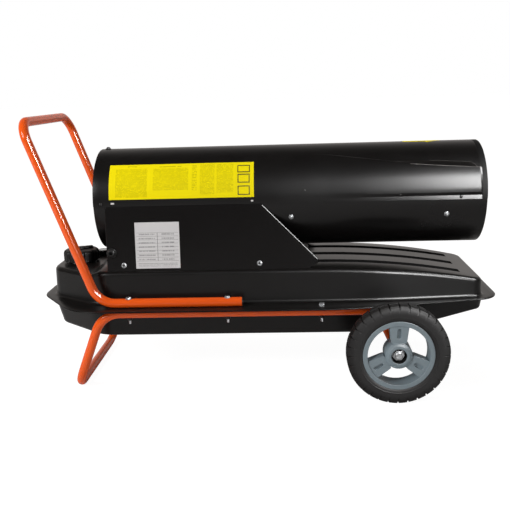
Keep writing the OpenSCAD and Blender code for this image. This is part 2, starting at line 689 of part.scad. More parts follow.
// Sloping plate that closes the pedestal towards the outlet, and its foot under the barrel.
module front_plate() {
    color(black) difference() {
        rotate([90, 0, 0]) translate([0, 0, -101]) linear_extrude(202)
            polygon([[panel_tip_x - 18, plate_foot_z], [panel_tip_x - 16, plate_foot_z], [20, panel_top_z - 33],
                [18, panel_top_z - 33]]);
        axial(-50) cylinder(h = 300, r = inner_shell_r + gap);
    }
}
module panel_screws() {
    color(zinc) for (side = [-1, 1]) on_panel(side) for (x = panel_screw_xs)
        translate([x, -gap, -panel_h + panel_screw_up]) rotate([90, 0, 0]) {
            screw(5.2, 8);
            translate([0, 0, 2]) difference() {
                hex(7, 3);
                translate([0, 0, 1]) cylinder(h = 5, r = 2);
            }
        }
}
// Round gland near the right panel's back edge: a low collar, a domed nut and the cable's bore.
module cable_gland() {
    color([0.13, 0.13, 0.13]) on_panel(-1) translate([gland_at.x, 0, gland_at.y]) rotate([90, 0, 0]) difference() {
        union() {
            translate([0, 0, -10]) cylinder(h = 10 + gap + eps, r = gland_r);
            translate([0, 0, gap]) cylinder(h = 3, r = 10.3);
            translate([0, 0, gap + 3 - eps]) rotate_extrude() polygon([[0, 0], [8.8, 0], [8.2, 3], [6.2, 5], [0, 5]]);
        }
        translate([0, 0, -11]) cylinder(h = 30, r = 3.5);
    }
}

// ---- intake, motor and pump ----

guard_x = barrel_back_x + 2;
motor_back_x = -272;
motor_len = 112;
motor_r = 46;
motor_mid_x = motor_back_x + motor_len / 2;
shaft_r = 6;
fan_x = -128;
fan_r = 96;
pump_x = -300;
pump_r = 44;
pump_port_x = pump_x + 12;
hose_x = -87;

// Wire guard just inside the intake: rings on eight radial wires, with feet that reach into the barrel.
module intake_guard() {
    wire = 1.5;
    color([0.2, 0.2, 0.2]) axial(guard_x) {
        for (r = [18:14:102]) rotate_extrude() translate([r, 0]) circle(r = wire);
        for (a = [22.5:45:337.5]) rotate([0, 0, a]) {
            translate([15.4, 0, 2.2]) rotate([0, 90, 0]) cylinder(h = 88.2, r = wire + 0.2);
            translate([101, 0, 1.4]) cylinder(h = 12, r = wire + 0.4);
        }
    }
}
module motor() {
    color([0.35, 0.36, 0.38]) axial(motor_back_x) difference() {
        union() {
            cylinder(h = motor_len, r = motor_r);
            for (z = [0, motor_len - 14]) translate([0, 0, z]) cylinder(h = 14, r = motor_r + 3);
        }
        translate([0, 0, -1]) cylinder(h = motor_len + 2, r = shaft_r + running);
        for (a = [0:30:330]) rotate([0, 0, a]) translate([motor_r + 2, 0, 20]) cylinder(h = motor_len - 40, r = 3);
    }
}
// Band round the motor with four arms out to the barrel.
module motor_bracket() {
    color([0.25, 0.25, 0.25]) difference() {
        axial(motor_mid_x - 12) {
            ring(motor_r + 4, motor_r + gap, 24);
            for (a = [40, 140, 220, 320]) rotate([0, 0, a]) {
                box([motor_r + 3.5, -10, 0], [duct_r - 2.2, 10, 2]);
                box([duct_r - 4.5, -10, 0.5], [duct_r - 2, 10, 24]);
            }
        }
        bracket_screw_places() cylinder(h = 30, r = 2.3, center = true);
    }
}
module motor_shaft() {
    color(zinc) axial(pump_x + 4) cylinder(h = fan_x + 22 - pump_x - 4, r = shaft_r);
}
module fan() {
    color([0.70, 0.72, 0.74]) axial(fan_x) difference() {
        union() {
            cylinder(h = 18, r = 22);
            for (a = [0:72:288]) rotate([0, 0, a]) intersection() {
                translate([0, 0, -20]) ring(fan_r, 19, 60);
                translate([18, 0, 9]) rotate([28, 0, 0]) translate([0, -38, -1]) cube([90, 76, 2]);
            }
        }
        translate([0, 0, -30]) cylinder(h = 80, r = shaft_r + running);
    }
}
// Air pump on the back of the motor: a round housing with a chamber for the rotor.
module pump_housing() {
    color([0.60, 0.61, 0.62]) axial(pump_x) difference() {
        union() {
            cylinder(h = motor_back_x - pump_x - gap, r = pump_r);
            translate([pump_r - 6, 0, 12]) rotate([0, 90, 0]) cylinder(h = 14, r = 6);
        }
        translate([0, 0, 5]) cylinder(h = 16, r = 30);
        translate([0, 0, 4]) cylinder(h = 40, r = shaft_r + running);
        translate([pump_r - 10, 0, 12]) rotate([0, 90, 0]) cylinder(h = 30, r = 4);
    }
}
module pump_rotor() {
    color([0.2, 0.2, 0.22]) axial(pump_x + 5 + gap) difference() {
        cylinder(h = 16 - 2 * gap, r = 28);
        translate([0, 0, -1]) cylinder(h = 20, r = shaft_r);
        for (a = [45:90:315]) rotate([0, 0, a]) box([20, -1, -1], [30, 1, 20]);
    }
}
module air_filter_cover() {
    color([0.16, 0.16, 0.16]) axial(pump_x - 12 - gap) difference() {
        cylinder(h = 12, r = pump_r - 2);
        translate([0, 0, 2]) cylinder(h = 20, r = pump_r - 5);
        for (a = [0:30:330]) rotate([0, 0, a]) translate([30, 0, -1]) cylinder(h = 5, r = 3);
        translate([0, 0, -1]) cylinder(h = 5, r = 12 + gap);
    }
}
module pressure_gauge() {
    color(zinc) axial(pump_x - 22) {
        cylinder(h = 10 - 2 * gap, r = 14);
        translate([0, 0, 9]) cylinder(h = 13 - gap, r = 12);
    }
}

// ---- burner ----

chamber_back_x = -62;
chamber_len = 470;
chamber_t = 1.2;
head_x = chamber_back_x - 4;

// The inner tube where the flame burns, held off the barrel by two rings of straps.
module combustion_chamber() {
    color([0.55, 0.53, 0.50]) difference() {
        axial(chamber_back_x) {
            ring(chamber_r, chamber_r - chamber_t, chamber_len);
            translate([0, 0, chamber_len - chamber_t]) ring(chamber_r - chamber_t / 2, 62, chamber_t);
            for (x = strap_screw_xs, a = [73, 107, 253, 287]) translate([0, 0, x - chamber_back_x]) rotate([0, 0, a]) {
                box([chamber_r - 0.6, -6, -9], [duct_r - 1.5, 6, -7.5]);
                box([duct_r - 3, -6, -8.8], [duct_r - 1, 6, 6]);
            }
        }
        shell_screw_places(1) cylinder(h = 30, r = 2.3, center = true);
    }
}
// Tapered ring that narrows the barrel's mouth.
module outlet_cone() {
    color([0.45, 0.44, 0.43]) axial(barrel_front_x - 51) rotate_extrude($fn = 96) polygon([[86, 0],
        [88, 0], [duct_r - gap, 29], [duct_r - gap, 44], [duct_r - gap - 2, 44], [duct_r - gap - 2, 30], [86, 2]]);
}
module flame_deflector() {
    color([0.50, 0.48, 0.46]) axial(chamber_back_x + chamber_len + 4) {
        translate([0, 0, 4]) cylinder(h = 1.5, r = 46);
        for (a = [30:120:270]) rotate([0, 0, a]) box([44, -5, -3.7], [68, 5, -2.5]);
        for (a = [30:120:270]) rotate([0, 0, a]) box([43, -5, -3.7], [45, 5, 4 + eps]);
    }
}
module burner_head() {
    color([0.50, 0.50, 0.48]) axial(head_x) difference() {
        union() {
            cylinder(h = 3, r = chamber_r);
            translate([0, 0, 3 - eps]) cylinder(h = 14, r = chamber_r - chamber_t - 1);
            translate([0, 0, -10]) cylinder(h = 10 + eps, r = 24);
        }
        translate([0, 0, 5]) cylinder(h = 40, r = chamber_r - chamber_t - 3);
        translate([0, 0, -20]) cylinder(h = 40, r = nozzle_r + gap);
        for (a = [0:30:330]) rotate([0, 0, a]) translate([54, 0, -5]) cylinder(h = 20, r = 5);
        translate([34, 0, -5]) cylinder(h = 20, r = 6 + gap);
        for (a = [160, 200]) rotate([0, 0, a]) translate([34, 0, -5]) cylinder(h = 20, r = 4 + gap);
    }
}
nozzle_x = -98;
nozzle_r = 11;
module nozzle() {
    color("goldenrod") axial(nozzle_x) {
        cylinder(h = head_x + 16 - nozzle_x, r = nozzle_r);
        translate([0, 0, head_x + 16 - nozzle_x - eps]) cylinder(h = 8, r1 = 9, r2 = 4);
    }
}
module igniter_electrodes() {
    for (a = [160, 200]) color("ivory") axial(head_x) rotate([0, 0, a]) translate([34, 0, 0]) {
        translate([0, 0, -14]) cylinder(h = 44, r = 4);
        translate([0, 0, 30 - eps]) cylinder(h = 14, r = 1.2);
    }
}
module photocell() {
    color([0.12, 0.12, 0.12]) axial(head_x) translate([34, 0, 0]) {
        translate([0, 0, -12]) cylinder(h = 12 - gap, r = 8);
        translate([0, 0, -gap - eps]) cylinder(h = 6, r = 6);
    }
}
hose_r = 4;
hose_bend = 14;
nozzle_bend = 8;
hose_z = 264;        // height of the hoses' level runs, between the tank and the barrel
// Fuel line: from the pickup's side, up through the barrel, and in at the side of the burner's nozzle.
module fuel_hose() {
    start = pickup_at.x + elbow_r + gap;
    color([0.2, 0.2, 0.2]) translate([start, pickup_at.y, hose_z]) rotate([0, 90, 0])
        run(hose_x - start - hose_bend, hose_r) bend(90, 180, hose_r, hose_bend)
        run(barrel_axis_z - hose_z - hose_bend - nozzle_bend, hose_r) rotate([0, 0, 90]) bend(90, 0, hose_r, nozzle_bend)
        run(pickup_at.y - nozzle_bend - nozzle_r - gap, hose_r);
}
// Air line: from the pump's port down through the barrel, along the tank's top and up to the nozzle.
module air_hose() {
    top = barrel_axis_z - pump_r - 8 - gap;
    color([0.25, 0.25, 0.25]) translate([pump_port_x, 0, top]) rotate([0, 180, 0])
        run(top - hose_z - hose_bend, hose_r) bend(90, 180, hose_r, hose_bend)
        run(hose_x - pump_port_x - 2 * hose_bend, hose_r) bend(90, 0, hose_r, hose_bend)
        run(barrel_axis_z - nozzle_r - gap - hose_z - hose_bend, hose_r);
}
elbow_r = 7;
module fuel_pickup() {
    color(zinc) translate([pickup_at.x, pickup_at.y, 0]) {
        translate([0, 0, tank_top_z + gap]) hex(22, 5);
        translate([0, 0, tank_top_z + 4]) cylinder(h = 20, r = elbow_r);
        translate([0, 0, 165]) cylinder(h = tank_top_z - 170, r = pickup_r - 3);
        translate([0, 0, tank_top_z - 8]) cylinder(h = 10, r = pickup_r);
        translate([0, 0, tank_bottom_z + 8]) cylinder(h = 159 - tank_bottom_z, r = 11);
    }
}
module ignition_transformer() {
    color([0.15, 0.15, 0.16]) {
        box([-230, -106, tank_top_z + gap], [-150, -62, tank_top_z + 34]);
        for (x = [-206, -174]) translate([x, -70, tank_top_z + 34 - eps]) cylinder(h = 6, r = 4.5);
    }
}
module control_board() {
    color([0.1, 0.35, 0.15]) {
        box([-230, 58, tank_top_z + 6], [-120, 106, tank_top_z + 7.6]);
        for (x = [-225, -125], y = [63, 101]) translate([x, y, tank_top_z + gap]) cylinder(h = 6, r = 3);
        box([-215, 66, tank_top_z + 7.5], [-190, 90, tank_top_z + 24]);
        box([-180, 66, tank_top_z + 7.5], [-160, 82, tank_top_z + 20]);
        box([-150, 66, tank_top_z + 7.5], [-132, 98, tank_top_z + 18]);
    }
}

// ---- controls on the left panel ----

module thermostat() {
    color([0.3, 0.3, 0.32]) on_panel(1) translate([knob_at.x, 0, knob_at.y]) rotate([90, 0, 0]) {
        translate([0, 0, -sheet_t - gap - 14]) cylinder(h = 14, r = 13);
        translate([0, 0, -sheet_t - gap - eps]) cylinder(h = sheet_t + gap + 11, r = 3);
    }
}
// Round knob with a grip bar; its pointer is up at the low setting.
module thermostat_knob() {
    color(black) on_panel(1) translate([knob_at.x, 0, knob_at.y]) rotate([90, 0, 0]) translate([0, 0, gap])
        difference() {
            union() {
                cylinder(h = 4, r = knob_d / 2);
                translate([0, 0, 4 - eps]) cylinder(h = 4, r = knob_d / 2 - 3);
                translate([0, 0, 8 - eps]) intersection() {
                    cylinder(h = 9, r = knob_d / 2 - 3);
                    box([-4, -20, 0], [4, 20, 9]);
                }
            }
            translate([0, 0, -1]) cylinder(h = 13, r = 3 + running);
            translate([0, knob_d / 2 - 6, 16]) box([-0.8, -5, 0], [0.8, 5, 5]);
        }
}
rocker_pivot_deep = 3;    // how far the rocker's pivot lies behind the panel's face
rocker_lean = 12;
module switch_housing() {
    color([0.12, 0.12, 0.12]) on_panel(1) translate([rocker_at.x, 0, rocker_at.y]) difference() {
        union() {
            box([-13.5, -1.8 - gap, -9.5], [13.5, -gap, 9.5]);
            box([-10.5, -gap - eps, -6.5], [10.5, 16, 6.5]);
        }
        box([-9, -5, -5], [9, 10, 5]);
        for (z = [-6, 5]) translate([0, rocker_pivot_deep, z]) cylinder(h = 1, r = 1.5 + running);
    }
}
// The rocker lies tilted, with its off end in.
module power_rocker() {
    color([0.75, 0.08, 0.06]) on_panel(1) translate([rocker_at.x, rocker_pivot_deep, rocker_at.y])
        rotate([0, 0, rocker_lean]) {
            difference() {
                box([-7.5, -7, -4.6], [7.5, 1.5, 4.6]);
                translate([0, -23.5, -10]) cylinder(h = 20, r = 18);
            }
            translate([0, 0, -5.8]) cylinder(h = 11.6, r = 1.5);
        }
}

// ---- labels ----

label_t = 0.25;
// A thin sheet on the barrel's side between two heights above the seam, given in degrees.
module on_barrel(x0, x1, a0, a1) {
    translate([x0, 0, barrel_axis_z]) rotate([90, 0, 90]) rotate([0, 0, 180 - a1])
        rotate_extrude(angle = a1 - a0, $fn = 96) translate([barrel_r + eps, 0]) square([label_t, x1 - x0]);
}
module instruction_label() { color([0.98, 0.88, 0.05]) on_barrel(-308, -12, 6.8, 47.5); }
module rating_plate() {
    color([0.95, 0.95, 0.95]) on_panel(-1) box([-258, -label_t - eps, -128], [-166.5, -eps, -28]);
}
module arrow_label() {
    color([0.98, 0.88, 0.05]) intersection() {
        on_barrel(299, 379, 78, 102);
        translate([0, 0, barrel_axis_z]) linear_extrude(150)
            polygon([[299, -10], [345, -10], [345, -18], [379, 0], [345, 18], [345, 10], [299, 10]]);
    }
}

module right_wheel_rim() { wheel_rim(); }
module right_tyre() { tyre(); }
module left_wheel_rim() { mirror([0, 1, 0]) wheel_rim(); }
module left_tyre() { mirror([0, 1, 0]) tyre(); }

tank_upper();
tank_lower();
handle_tube();
lower_frame_tube();
tube_end_plugs();
frame_bolts();
frame_nuts();
axle();
axle_spacers();
right_wheel_rim();
right_tyre();
left_wheel_rim();
left_tyre();
axle_washers();
axle_nuts();
upper_shell();
lower_shell();
right_side_panel();
left_side_panel();
rear_plate();
front_plate();
panel_screws();
shell_screws();
intake_guard();
motor();
motor_bracket();
motor_shaft();
fan();
pump_housing();
pump_rotor();
pressure_gauge();
air_filter_cover();
combustion_chamber();
outlet_cone();
flame_deflector();
burner_head();
nozzle();
igniter_electrodes();
photocell();
fuel_hose();
air_hose();
fuel_pickup();
ignition_transformer();
control_board();
thermostat();
thermostat_knob();
switch_housing();
power_rocker();
cable_gland();
filler_neck();
filler_strainer();
cap_gasket();
fuel_cap();
fuel_gauge();
gauge_pointer();
float_arm();
drain_plug();
instruction_label();
rating_plate();
arrow_label();
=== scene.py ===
import math
from collections import Counter

import bmesh
import bpy
from mathutils import Matrix, Vector

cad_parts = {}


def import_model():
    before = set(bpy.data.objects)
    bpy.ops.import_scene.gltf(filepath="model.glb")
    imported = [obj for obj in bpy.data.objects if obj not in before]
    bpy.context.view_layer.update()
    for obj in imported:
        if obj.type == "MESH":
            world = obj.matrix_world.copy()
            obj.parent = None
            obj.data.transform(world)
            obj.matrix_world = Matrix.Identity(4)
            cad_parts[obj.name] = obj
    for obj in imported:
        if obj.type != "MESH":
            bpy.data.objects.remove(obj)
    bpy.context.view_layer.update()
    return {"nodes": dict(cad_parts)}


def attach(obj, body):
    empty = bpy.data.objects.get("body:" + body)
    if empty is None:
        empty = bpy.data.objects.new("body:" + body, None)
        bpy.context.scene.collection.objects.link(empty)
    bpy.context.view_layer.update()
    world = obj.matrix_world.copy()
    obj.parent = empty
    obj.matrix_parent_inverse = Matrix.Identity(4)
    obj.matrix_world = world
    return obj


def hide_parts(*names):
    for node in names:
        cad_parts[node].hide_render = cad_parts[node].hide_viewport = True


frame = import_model()

# Lengths below are millimetres; every mesh is brought to metres when it is finished.
MM = 0.001
BARREL_Z, BARREL_R = 383.0, 107.5
BACK_X, FRONT_X = -342.0, 453.0
SEAM_Z, SHEET = 179.0, 1.5
DECK_Z, TOP_Z, BOTTOM_Z = 244.0, 251.5, 107.5
TUBE_R, TUBE_Y = 9.5, 152.0
UPPER_TUBE_Z = SEAM_Z + SHEET + TUBE_R
LOWER_TUBE_Z = SEAM_Z - SHEET - TUBE_R
BOLT_XS = (-271.5, -70, 120)
AXLE_X, WHEEL_R, WHEEL_Y = 264.0, 100.0, 213.0
CAP_X = -406.5
PANEL_TOP = (107.5, 381.7)
PANEL_LEAN = math.atan(14.5 / 134.1)
PANEL_H = 134.1 / math.cos(PANEL_LEAN)


# ---------------------------------------------------------------- camera

CAMERA_PLACE = (0.0605, -1.5209, 0.609)
CAMERA_PITCH, CAMERA_YAW, CAMERA_ROLL = 13.2595, 2.998, 1.75
LENS_MM, SENSOR_MM = 50, 36


def place_camera():
    """Sets up the one camera, a little above the right side; its angles are in degrees."""
    pitch, yaw, roll = math.radians(CAMERA_PITCH), math.radians(CAMERA_YAW), math.radians(CAMERA_ROLL)
    right = Vector((math.cos(yaw), math.sin(yaw), 0))
    ahead = Vector((-math.sin(yaw) * math.cos(pitch), math.cos(yaw) * math.cos(pitch), -math.sin(pitch)))
    up = right.cross(ahead)
    cam_right = math.cos(roll) * right - math.sin(roll) * up
    cam_up = math.sin(roll) * right + math.cos(roll) * up
    data = bpy.data.cameras.new("camera")
    data.lens, data.sensor_width = LENS_MM, SENSOR_MM
    camera = bpy.data.objects.new("camera", data)
    camera.matrix_world = Matrix((cam_right, cam_up, -ahead)).transposed().to_4x4()
    camera.matrix_world.translation = Vector(CAMERA_PLACE)
    bpy.context.scene.collection.objects.link(camera)
    bpy.context.scene.camera = camera


place_camera()


# ---------------------------------------------------------------- materials

def make_group(name, inputs, outputs):
    """A shader node group with its named sockets, and its input and output nodes."""
    group = bpy.data.node_groups.new(name, "ShaderNodeTree")
    for label, kind, value in inputs:
        socket = group.interface.new_socket(label, in_out="INPUT", socket_type=kind)
        if value is not None:
            socket.default_value = value
    for label, kind in outputs:
        group.interface.new_socket(label, in_out="OUTPUT", socket_type=kind)
    return group, group.nodes.new("NodeGroupInput"), group.nodes.new("NodeGroupOutput")


def node(tree, kind, links=None, **settings):
    """A new node: settings set its properties or its sockets' values, links join sockets to its inputs."""
    new = tree.nodes.new(kind)
    for key, value in settings.items():
        if key in new.inputs:
            new.inputs[key].default_value = value
        else:
            setattr(new, key, value)
    for key, source in (links or {}).items():
        tree.links.new(source, new.inputs[key])
    return new


def math_node(tree, operation, a, b=None, clamp=False):
    """Adds a Math node and gives its output."""
    new = tree.nodes.new("ShaderNodeMath")
    new.operation, new.use_clamp = operation, clamp
    for i, value in enumerate((a, b)):
        if value is None:
            continue
        if isinstance(value, (int, float)):
            new.inputs[i].default_value = value
        else:
            tree.links.new(value, new.inputs[i])
    return new.outputs[0]


def mix_colour(tree, factor, a, b):
    """Mixes two colours by a factor and gives the result."""
    new = tree.nodes.new("ShaderNodeMix")
    new.data_type = "RGBA"
    for i, value in ((0, factor), (6, a), (7, b)):
        if hasattr(value, "links") or hasattr(value, "is_output"):
            tree.links.new(value, new.inputs[i])
        else:
            new.inputs[i].default_value = value
    return new.outputs[2]


def group_speckle():
    """Cloudy variation of a surface: a mask from 0 to 1."""
    group, start, end = make_group("speckle", [("Vector", "NodeSocketVector", None),
                                               ("Scale", "NodeSocketFloat", 20.0),
                                               ("Low", "NodeSocketFloat", 0.4),
                                               ("High", "NodeSocketFloat", 0.7)], [("Mask", "NodeSocketFloat")])
    noise = node(group, "ShaderNodeTexNoise",
                 {"Vector": start.outputs["Vector"], "Scale": start.outputs["Scale"]}, Detail=4.0)
    ramp = node(group, "ShaderNodeMapRange", {"Value": noise.outputs["Fac"], "From Min": start.outputs["Low"],
                                              "From Max": start.outputs["High"]})
    group.links.new(ramp.outputs["Result"], end.inputs["Mask"])
    return group


def group_settled_dust():
    """Dust on what faces up: a mask, more of it the larger Amount is."""
    group, start, end = make_group("settled_dust",
                                   [("Vector", "NodeSocketVector", None), ("Normal", "NodeSocketVector", None),
                                    ("Amount", "NodeSocketFloat", 0.2)], [("Mask", "NodeSocketFloat")])
    facing = node(group, "ShaderNodeSeparateXYZ", {"Vector": start.outputs["Normal"]})
    up = node(group, "ShaderNodeMapRange", {"Value": facing.outputs["Z"]},
              **{"From Min": 0.25, "From Max": 0.95})
    cloud = node(group, "ShaderNodeTexNoise", {"Vector": start.outputs["Vector"]}, Scale=38.0, Detail=6.0)
    fine = node(group, "ShaderNodeTexNoise", {"Vector": start.outputs["Vector"]}, Scale=900.0, Detail=2.0)
    both = math_node(group, "MULTIPLY", cloud.outputs["Fac"], fine.outputs["Fac"])
    lifted = math_node(group, "MULTIPLY", both, 3.2, clamp=True)
    masked = math_node(group, "MULTIPLY", lifted, up.outputs["Result"])
    result = math_node(group, "MULTIPLY", masked, start.outputs["Amount"], clamp=True)
    group.links.new(result, end.inputs["Mask"])
    return group


def group_scuffs():
    """Hair scratches in two directions: a mask."""
    group, start, end = make_group(
        "scuffs", [("Vector", "NodeSocketVector", None), ("Amount", "NodeSocketFloat", 0.3)],
        [("Mask", "NodeSocketFloat")])
    masks = []
    for turn, stretch in ((0.35, (6.0, 160.0, 160.0)), (1.9, (190.0, 9.0, 120.0))):
        laid = node(group, "ShaderNodeMapping", {"Vector": start.outputs["Vector"]})
        laid.inputs["Rotation"].default_value = (turn, 0.2, turn)
        laid.inputs["Scale"].default_value = stretch
        noise = node(group, "ShaderNodeTexNoise", {"Vector": laid.outputs["Vector"]}, Scale=1.0, Detail=3.0)
        line = node(group, "ShaderNodeMapRange", {"Value": noise.outputs["Fac"]},
                    **{"From Min": 0.66, "From Max": 0.72})
        masks.append(line.outputs["Result"])
    total = math_node(group, "MAXIMUM", masks[0], masks[1])
    result = math_node(group, "MULTIPLY", total, start.outputs["Amount"])
    group.links.new(result, end.inputs["Mask"])
    return group


def group_skin_height():
    """Height of a surface's skin: orange peel of paint, or the grain of a mould."""
    group, start, end = make_group("skin_height",
                                   [("Vector", "NodeSocketVector", None),
                                    ("Peel Scale", "NodeSocketFloat", 300.0), ("Peel", "NodeSocketFloat", 0.5),
                                    ("Grain Scale", "NodeSocketFloat", 1500.0),
                                    ("Grain", "NodeSocketFloat", 0.5)], [("Height", "NodeSocketFloat")])
    total = 0.0
    for label, detail in (("Peel", 1.0), ("Grain", 3.0)):
        noise = node(group, "ShaderNodeTexNoise", {"Vector": start.outputs["Vector"],
                                                   "Scale": start.outputs[label + " Scale"]}, Detail=detail)
        total = math_node(group, "ADD", math_node(group, "MULTIPLY", noise.outputs["Fac"],
                                                  start.outputs[label]), total)
    group.links.new(total, end.inputs["Height"])
    return group


def group_brushed():
    """Drawn or brushed metal: a value that runs in lines along X."""
    group, start, end = make_group("brushed_lines",
                                   [("Vector", "NodeSocketVector", None),
                                    ("Stretch", "NodeSocketVector", (20.0, 900.0, 900.0))],
                                   [("Value", "NodeSocketFloat")])
    scaled = node(group, "ShaderNodeVectorMath", {0: start.outputs["Vector"], 1: start.outputs["Stretch"]},
                  operation="MULTIPLY")
    noise = node(group, "ShaderNodeTexNoise", {"Vector": scaled.outputs["Vector"]}, Scale=1.0, Detail=5.0)
    group.links.new(noise.outputs["Fac"], end.inputs["Value"])
    return group


SPECKLE, DUST, SCUFFS = group_speckle(), group_settled_dust(), group_scuffs()
SKIN, BRUSHED = group_skin_height(), group_brushed()


def group_node(tree, group, links, **values):
    """Places a node group in a material with its own values."""
    new = tree.nodes.new("ShaderNodeGroup")
    new.node_tree = group
    for key, value in values.items():
        new.inputs[key.replace("_", " ")].default_value = value
    for key, source in links.items():
        tree.links.new(source, new.inputs[key])
    return new


def rgba(colour):
    """A colour with full alpha."""
    return (colour[0], colour[1], colour[2], 1.0)


DUST_COLOUR = (0.42, 0.39, 0.35, 1.0)
COAT_ROUGHNESS, SKIN_DEPTH = 0.12, 0.0006


def finish_material(name, colour, rough, metallic=0.0, vary=0.12, vary_scale=14.0, dust=0.0, scuffs=0.0,
                    peel=0.3, peel_scale=260.0, grain=0.2, grain_scale=1600.0, bump=0.15, coat=0.0,
                    brushed=None, second=None, rough_vary=0.08, specular=0.5):
    """A finish made of a varied colour, scuffs, settled dust and a skin."""
    material = bpy.data.materials.new(name)
    material.use_nodes = True
    tree = material.node_tree
    shader = tree.nodes["Principled BSDF"]
    place = tree.nodes.new("ShaderNodeTexCoord")
    at = place.outputs["Object"]
    cloud = group_node(tree, SPECKLE, {"Vector": at}, Scale=vary_scale, Low=0.3, High=0.75)
    dark = tuple(c * (1 - vary) for c in colour) if second is None else second
    tint = mix_colour(tree, cloud.outputs["Mask"], rgba(colour), rgba(dark))
    roughness = math_node(tree, "MULTIPLY_ADD", cloud.outputs["Mask"], rough_vary)
    roughness.node.inputs[2].default_value = rough
    if scuffs:
        lines = group_node(tree, SCUFFS, {"Vector": at}, Amount=scuffs)
        pale = tuple(min(1.0, c * 1.6 + 0.05) for c in colour)
        tint = mix_colour(tree, lines.outputs["Mask"], tint, rgba(pale))
        rougher = math_node(tree, "MULTIPLY", lines.outputs["Mask"], 0.2)
        roughness = math_node(tree, "ADD", roughness, rougher)
    if brushed:
        lines = group_node(tree, BRUSHED, {"Vector": at}, Stretch=brushed)
        shade = math_node(tree, "MULTIPLY", math_node(tree, "SUBTRACT", lines.outputs["Value"], 0.5), 0.5)
        tint = mix_colour(tree, math_node(tree, "ABSOLUTE", shade), tint, rgba(tuple(c * 0.35 for c in colour)))
        roughness = math_node(tree, "ADD", roughness, shade)
    if dust:
        film = group_node(tree, DUST, {"Vector": at, "Normal": place.outputs["Normal"]}, Amount=dust)
        tint = mix_colour(tree, film.outputs["Mask"], tint, DUST_COLOUR)
        rougher = math_node(tree, "MULTIPLY", film.outputs["Mask"], 0.3)
        roughness = math_node(tree, "ADD", roughness, rougher, clamp=True)
    skin = group_node(tree, SKIN, {"Vector": at}, Peel_Scale=peel_scale, Peel=peel, Grain_Scale=grain_scale,
                      Grain=grain)
    bumped = node(tree, "ShaderNodeBump", {"Height": skin.outputs["Height"]}, Strength=bump,
                  Distance=SKIN_DEPTH)
    tree.links.new(tint, shader.inputs["Base Color"])
    tree.links.new(roughness, shader.inputs["Roughness"])
    tree.links.new(bumped.outputs["Normal"], shader.inputs["Normal"])
    shader.inputs["Metallic"].default_value = metallic
    shader.inputs["Coat Weight"].default_value = coat
    shader.inputs["Coat Roughness"].default_value = COAT_ROUGHNESS
    shader.inputs["Specular IOR Level"].default_value = specular
    return material


BODY_PAINT = finish_material("body_paint", (0.0046, 0.0038, 0.0038), 0.27, vary=0.2, vary_scale=7, dust=0.012,
                             scuffs=0.01, peel=0.5, peel_scale=210, grain=0.2, bump=0.05, specular=0.28,
                             rough_vary=0.05)
TANK_PAINT = finish_material("tank_paint", (0.0046, 0.0038, 0.0037), 0.28, vary=0.2, vary_scale=6, dust=0.012,
                             scuffs=0.012, peel=0.5, peel_scale=190, grain=0.25, bump=0.06, specular=0.27,
                             rough_vary=0.06)
PANEL_PAINT = finish_material("panel_paint", (0.0046, 0.0038, 0.0038), 0.21, vary=0.2, vary_scale=7, dust=0.012,
                              scuffs=0.01, peel=0.5, peel_scale=210, grain=0.2, bump=0.03, specular=0.30,
                              rough_vary=0.04)
PLATE_BLACK = finish_material("shaded_plate_paint", (0.0045, 0.0040, 0.0040), 0.50, vary=0.2, vary_scale=8,
                              dust=0.01, peel=0.5, peel_scale=200, grain=0.3, bump=0.06, specular=0.10)
# Darker, duller paint for the walls and floors of the grooves in the tank's top: painted shade.
GROOVE_SHADE_PAINT = finish_material("painted_groove_shade", (0.0038, 0.0034, 0.0034), 0.65, vary=0.2, vary_scale=8,
                               dust=0.008, peel=0.5, peel_scale=200, grain=0.3, bump=0.06, specular=0.03)
# Pale metal paint on the strips along the wing's creases: a painted highlight.
CREASE_HIGHLIGHT_PAINT = finish_material("painted_crease_highlight", (0.34, 0.32, 0.31), 0.46, metallic=1.0, vary=0.3,
                               vary_scale=60, grain=0.3, bump=0.05)
FRAME_PAINT = finish_material("frame_paint", (0.90, 0.108, 0.008), 0.14, vary=0.06, vary_scale=10, dust=0.008,
                              scuffs=0.02, peel=0.5, peel_scale=120, grain=0.05, bump=0.02, specular=0.4,
                              rough_vary=0.04)
WHEEL_PLASTIC = finish_material("wheel_plastic", (0.222, 0.280, 0.314), 0.42, vary=0.08, vary_scale=18,
                                dust=0.02, scuffs=0.03, peel=0.2, peel_scale=500, grain=0.5, bump=0.10,
                                specular=0.35)
TYRE_RUBBER = finish_material("tyre_rubber", (0.0075, 0.0060, 0.0060), 0.52, vary=0.25, vary_scale=22,
                              dust=0.03, scuffs=0.03, peel=0.2, peel_scale=600, grain=0.7, bump=0.18,
                              rough_vary=0.12, specular=0.25)
ZINC = finish_material("zinc_plate", (0.44, 0.45, 0.46), 0.33, metallic=1.0, vary=0.25, vary_scale=120,
                       peel=0.1, grain=0.3, bump=0.08, brushed=(60.0, 700.0, 700.0))
STEEL_SHAFT = finish_material("ground_steel", (0.58, 0.59, 0.60), 0.22, metallic=1.0, vary=0.1, grain=0.1,
                              bump=0.05, brushed=(900.0, 60.0, 60.0))
HOT_STEEL = finish_material("heat_resisting_steel", (0.40, 0.37, 0.34), 0.38, metallic=1.0, vary_scale=9,
                            second=(0.16, 0.13, 0.12), grain=0.3, bump=0.10, brushed=(30.0, 500.0, 500.0))
SOOTED_STEEL = finish_material("sooted_steel", (0.22, 0.20, 0.185), 0.50, metallic=1.0, vary_scale=16,
                               second=(0.05, 0.045, 0.042), grain=0.5, bump=0.18)
CAST_ALLOY = finish_material("cast_alloy", (0.46, 0.47, 0.48), 0.48, metallic=1.0, vary=0.15, vary_scale=40,
                             dust=0.1, peel=0.6, peel_scale=900, grain=0.8, bump=0.45)
FAN_ALLOY = finish_material("pressed_alloy", (0.62, 0.63, 0.64), 0.32, metallic=1.0, vary=0.1, dust=0.15,
                            grain=0.2, bump=0.08, brushed=(40.0, 600.0, 600.0))
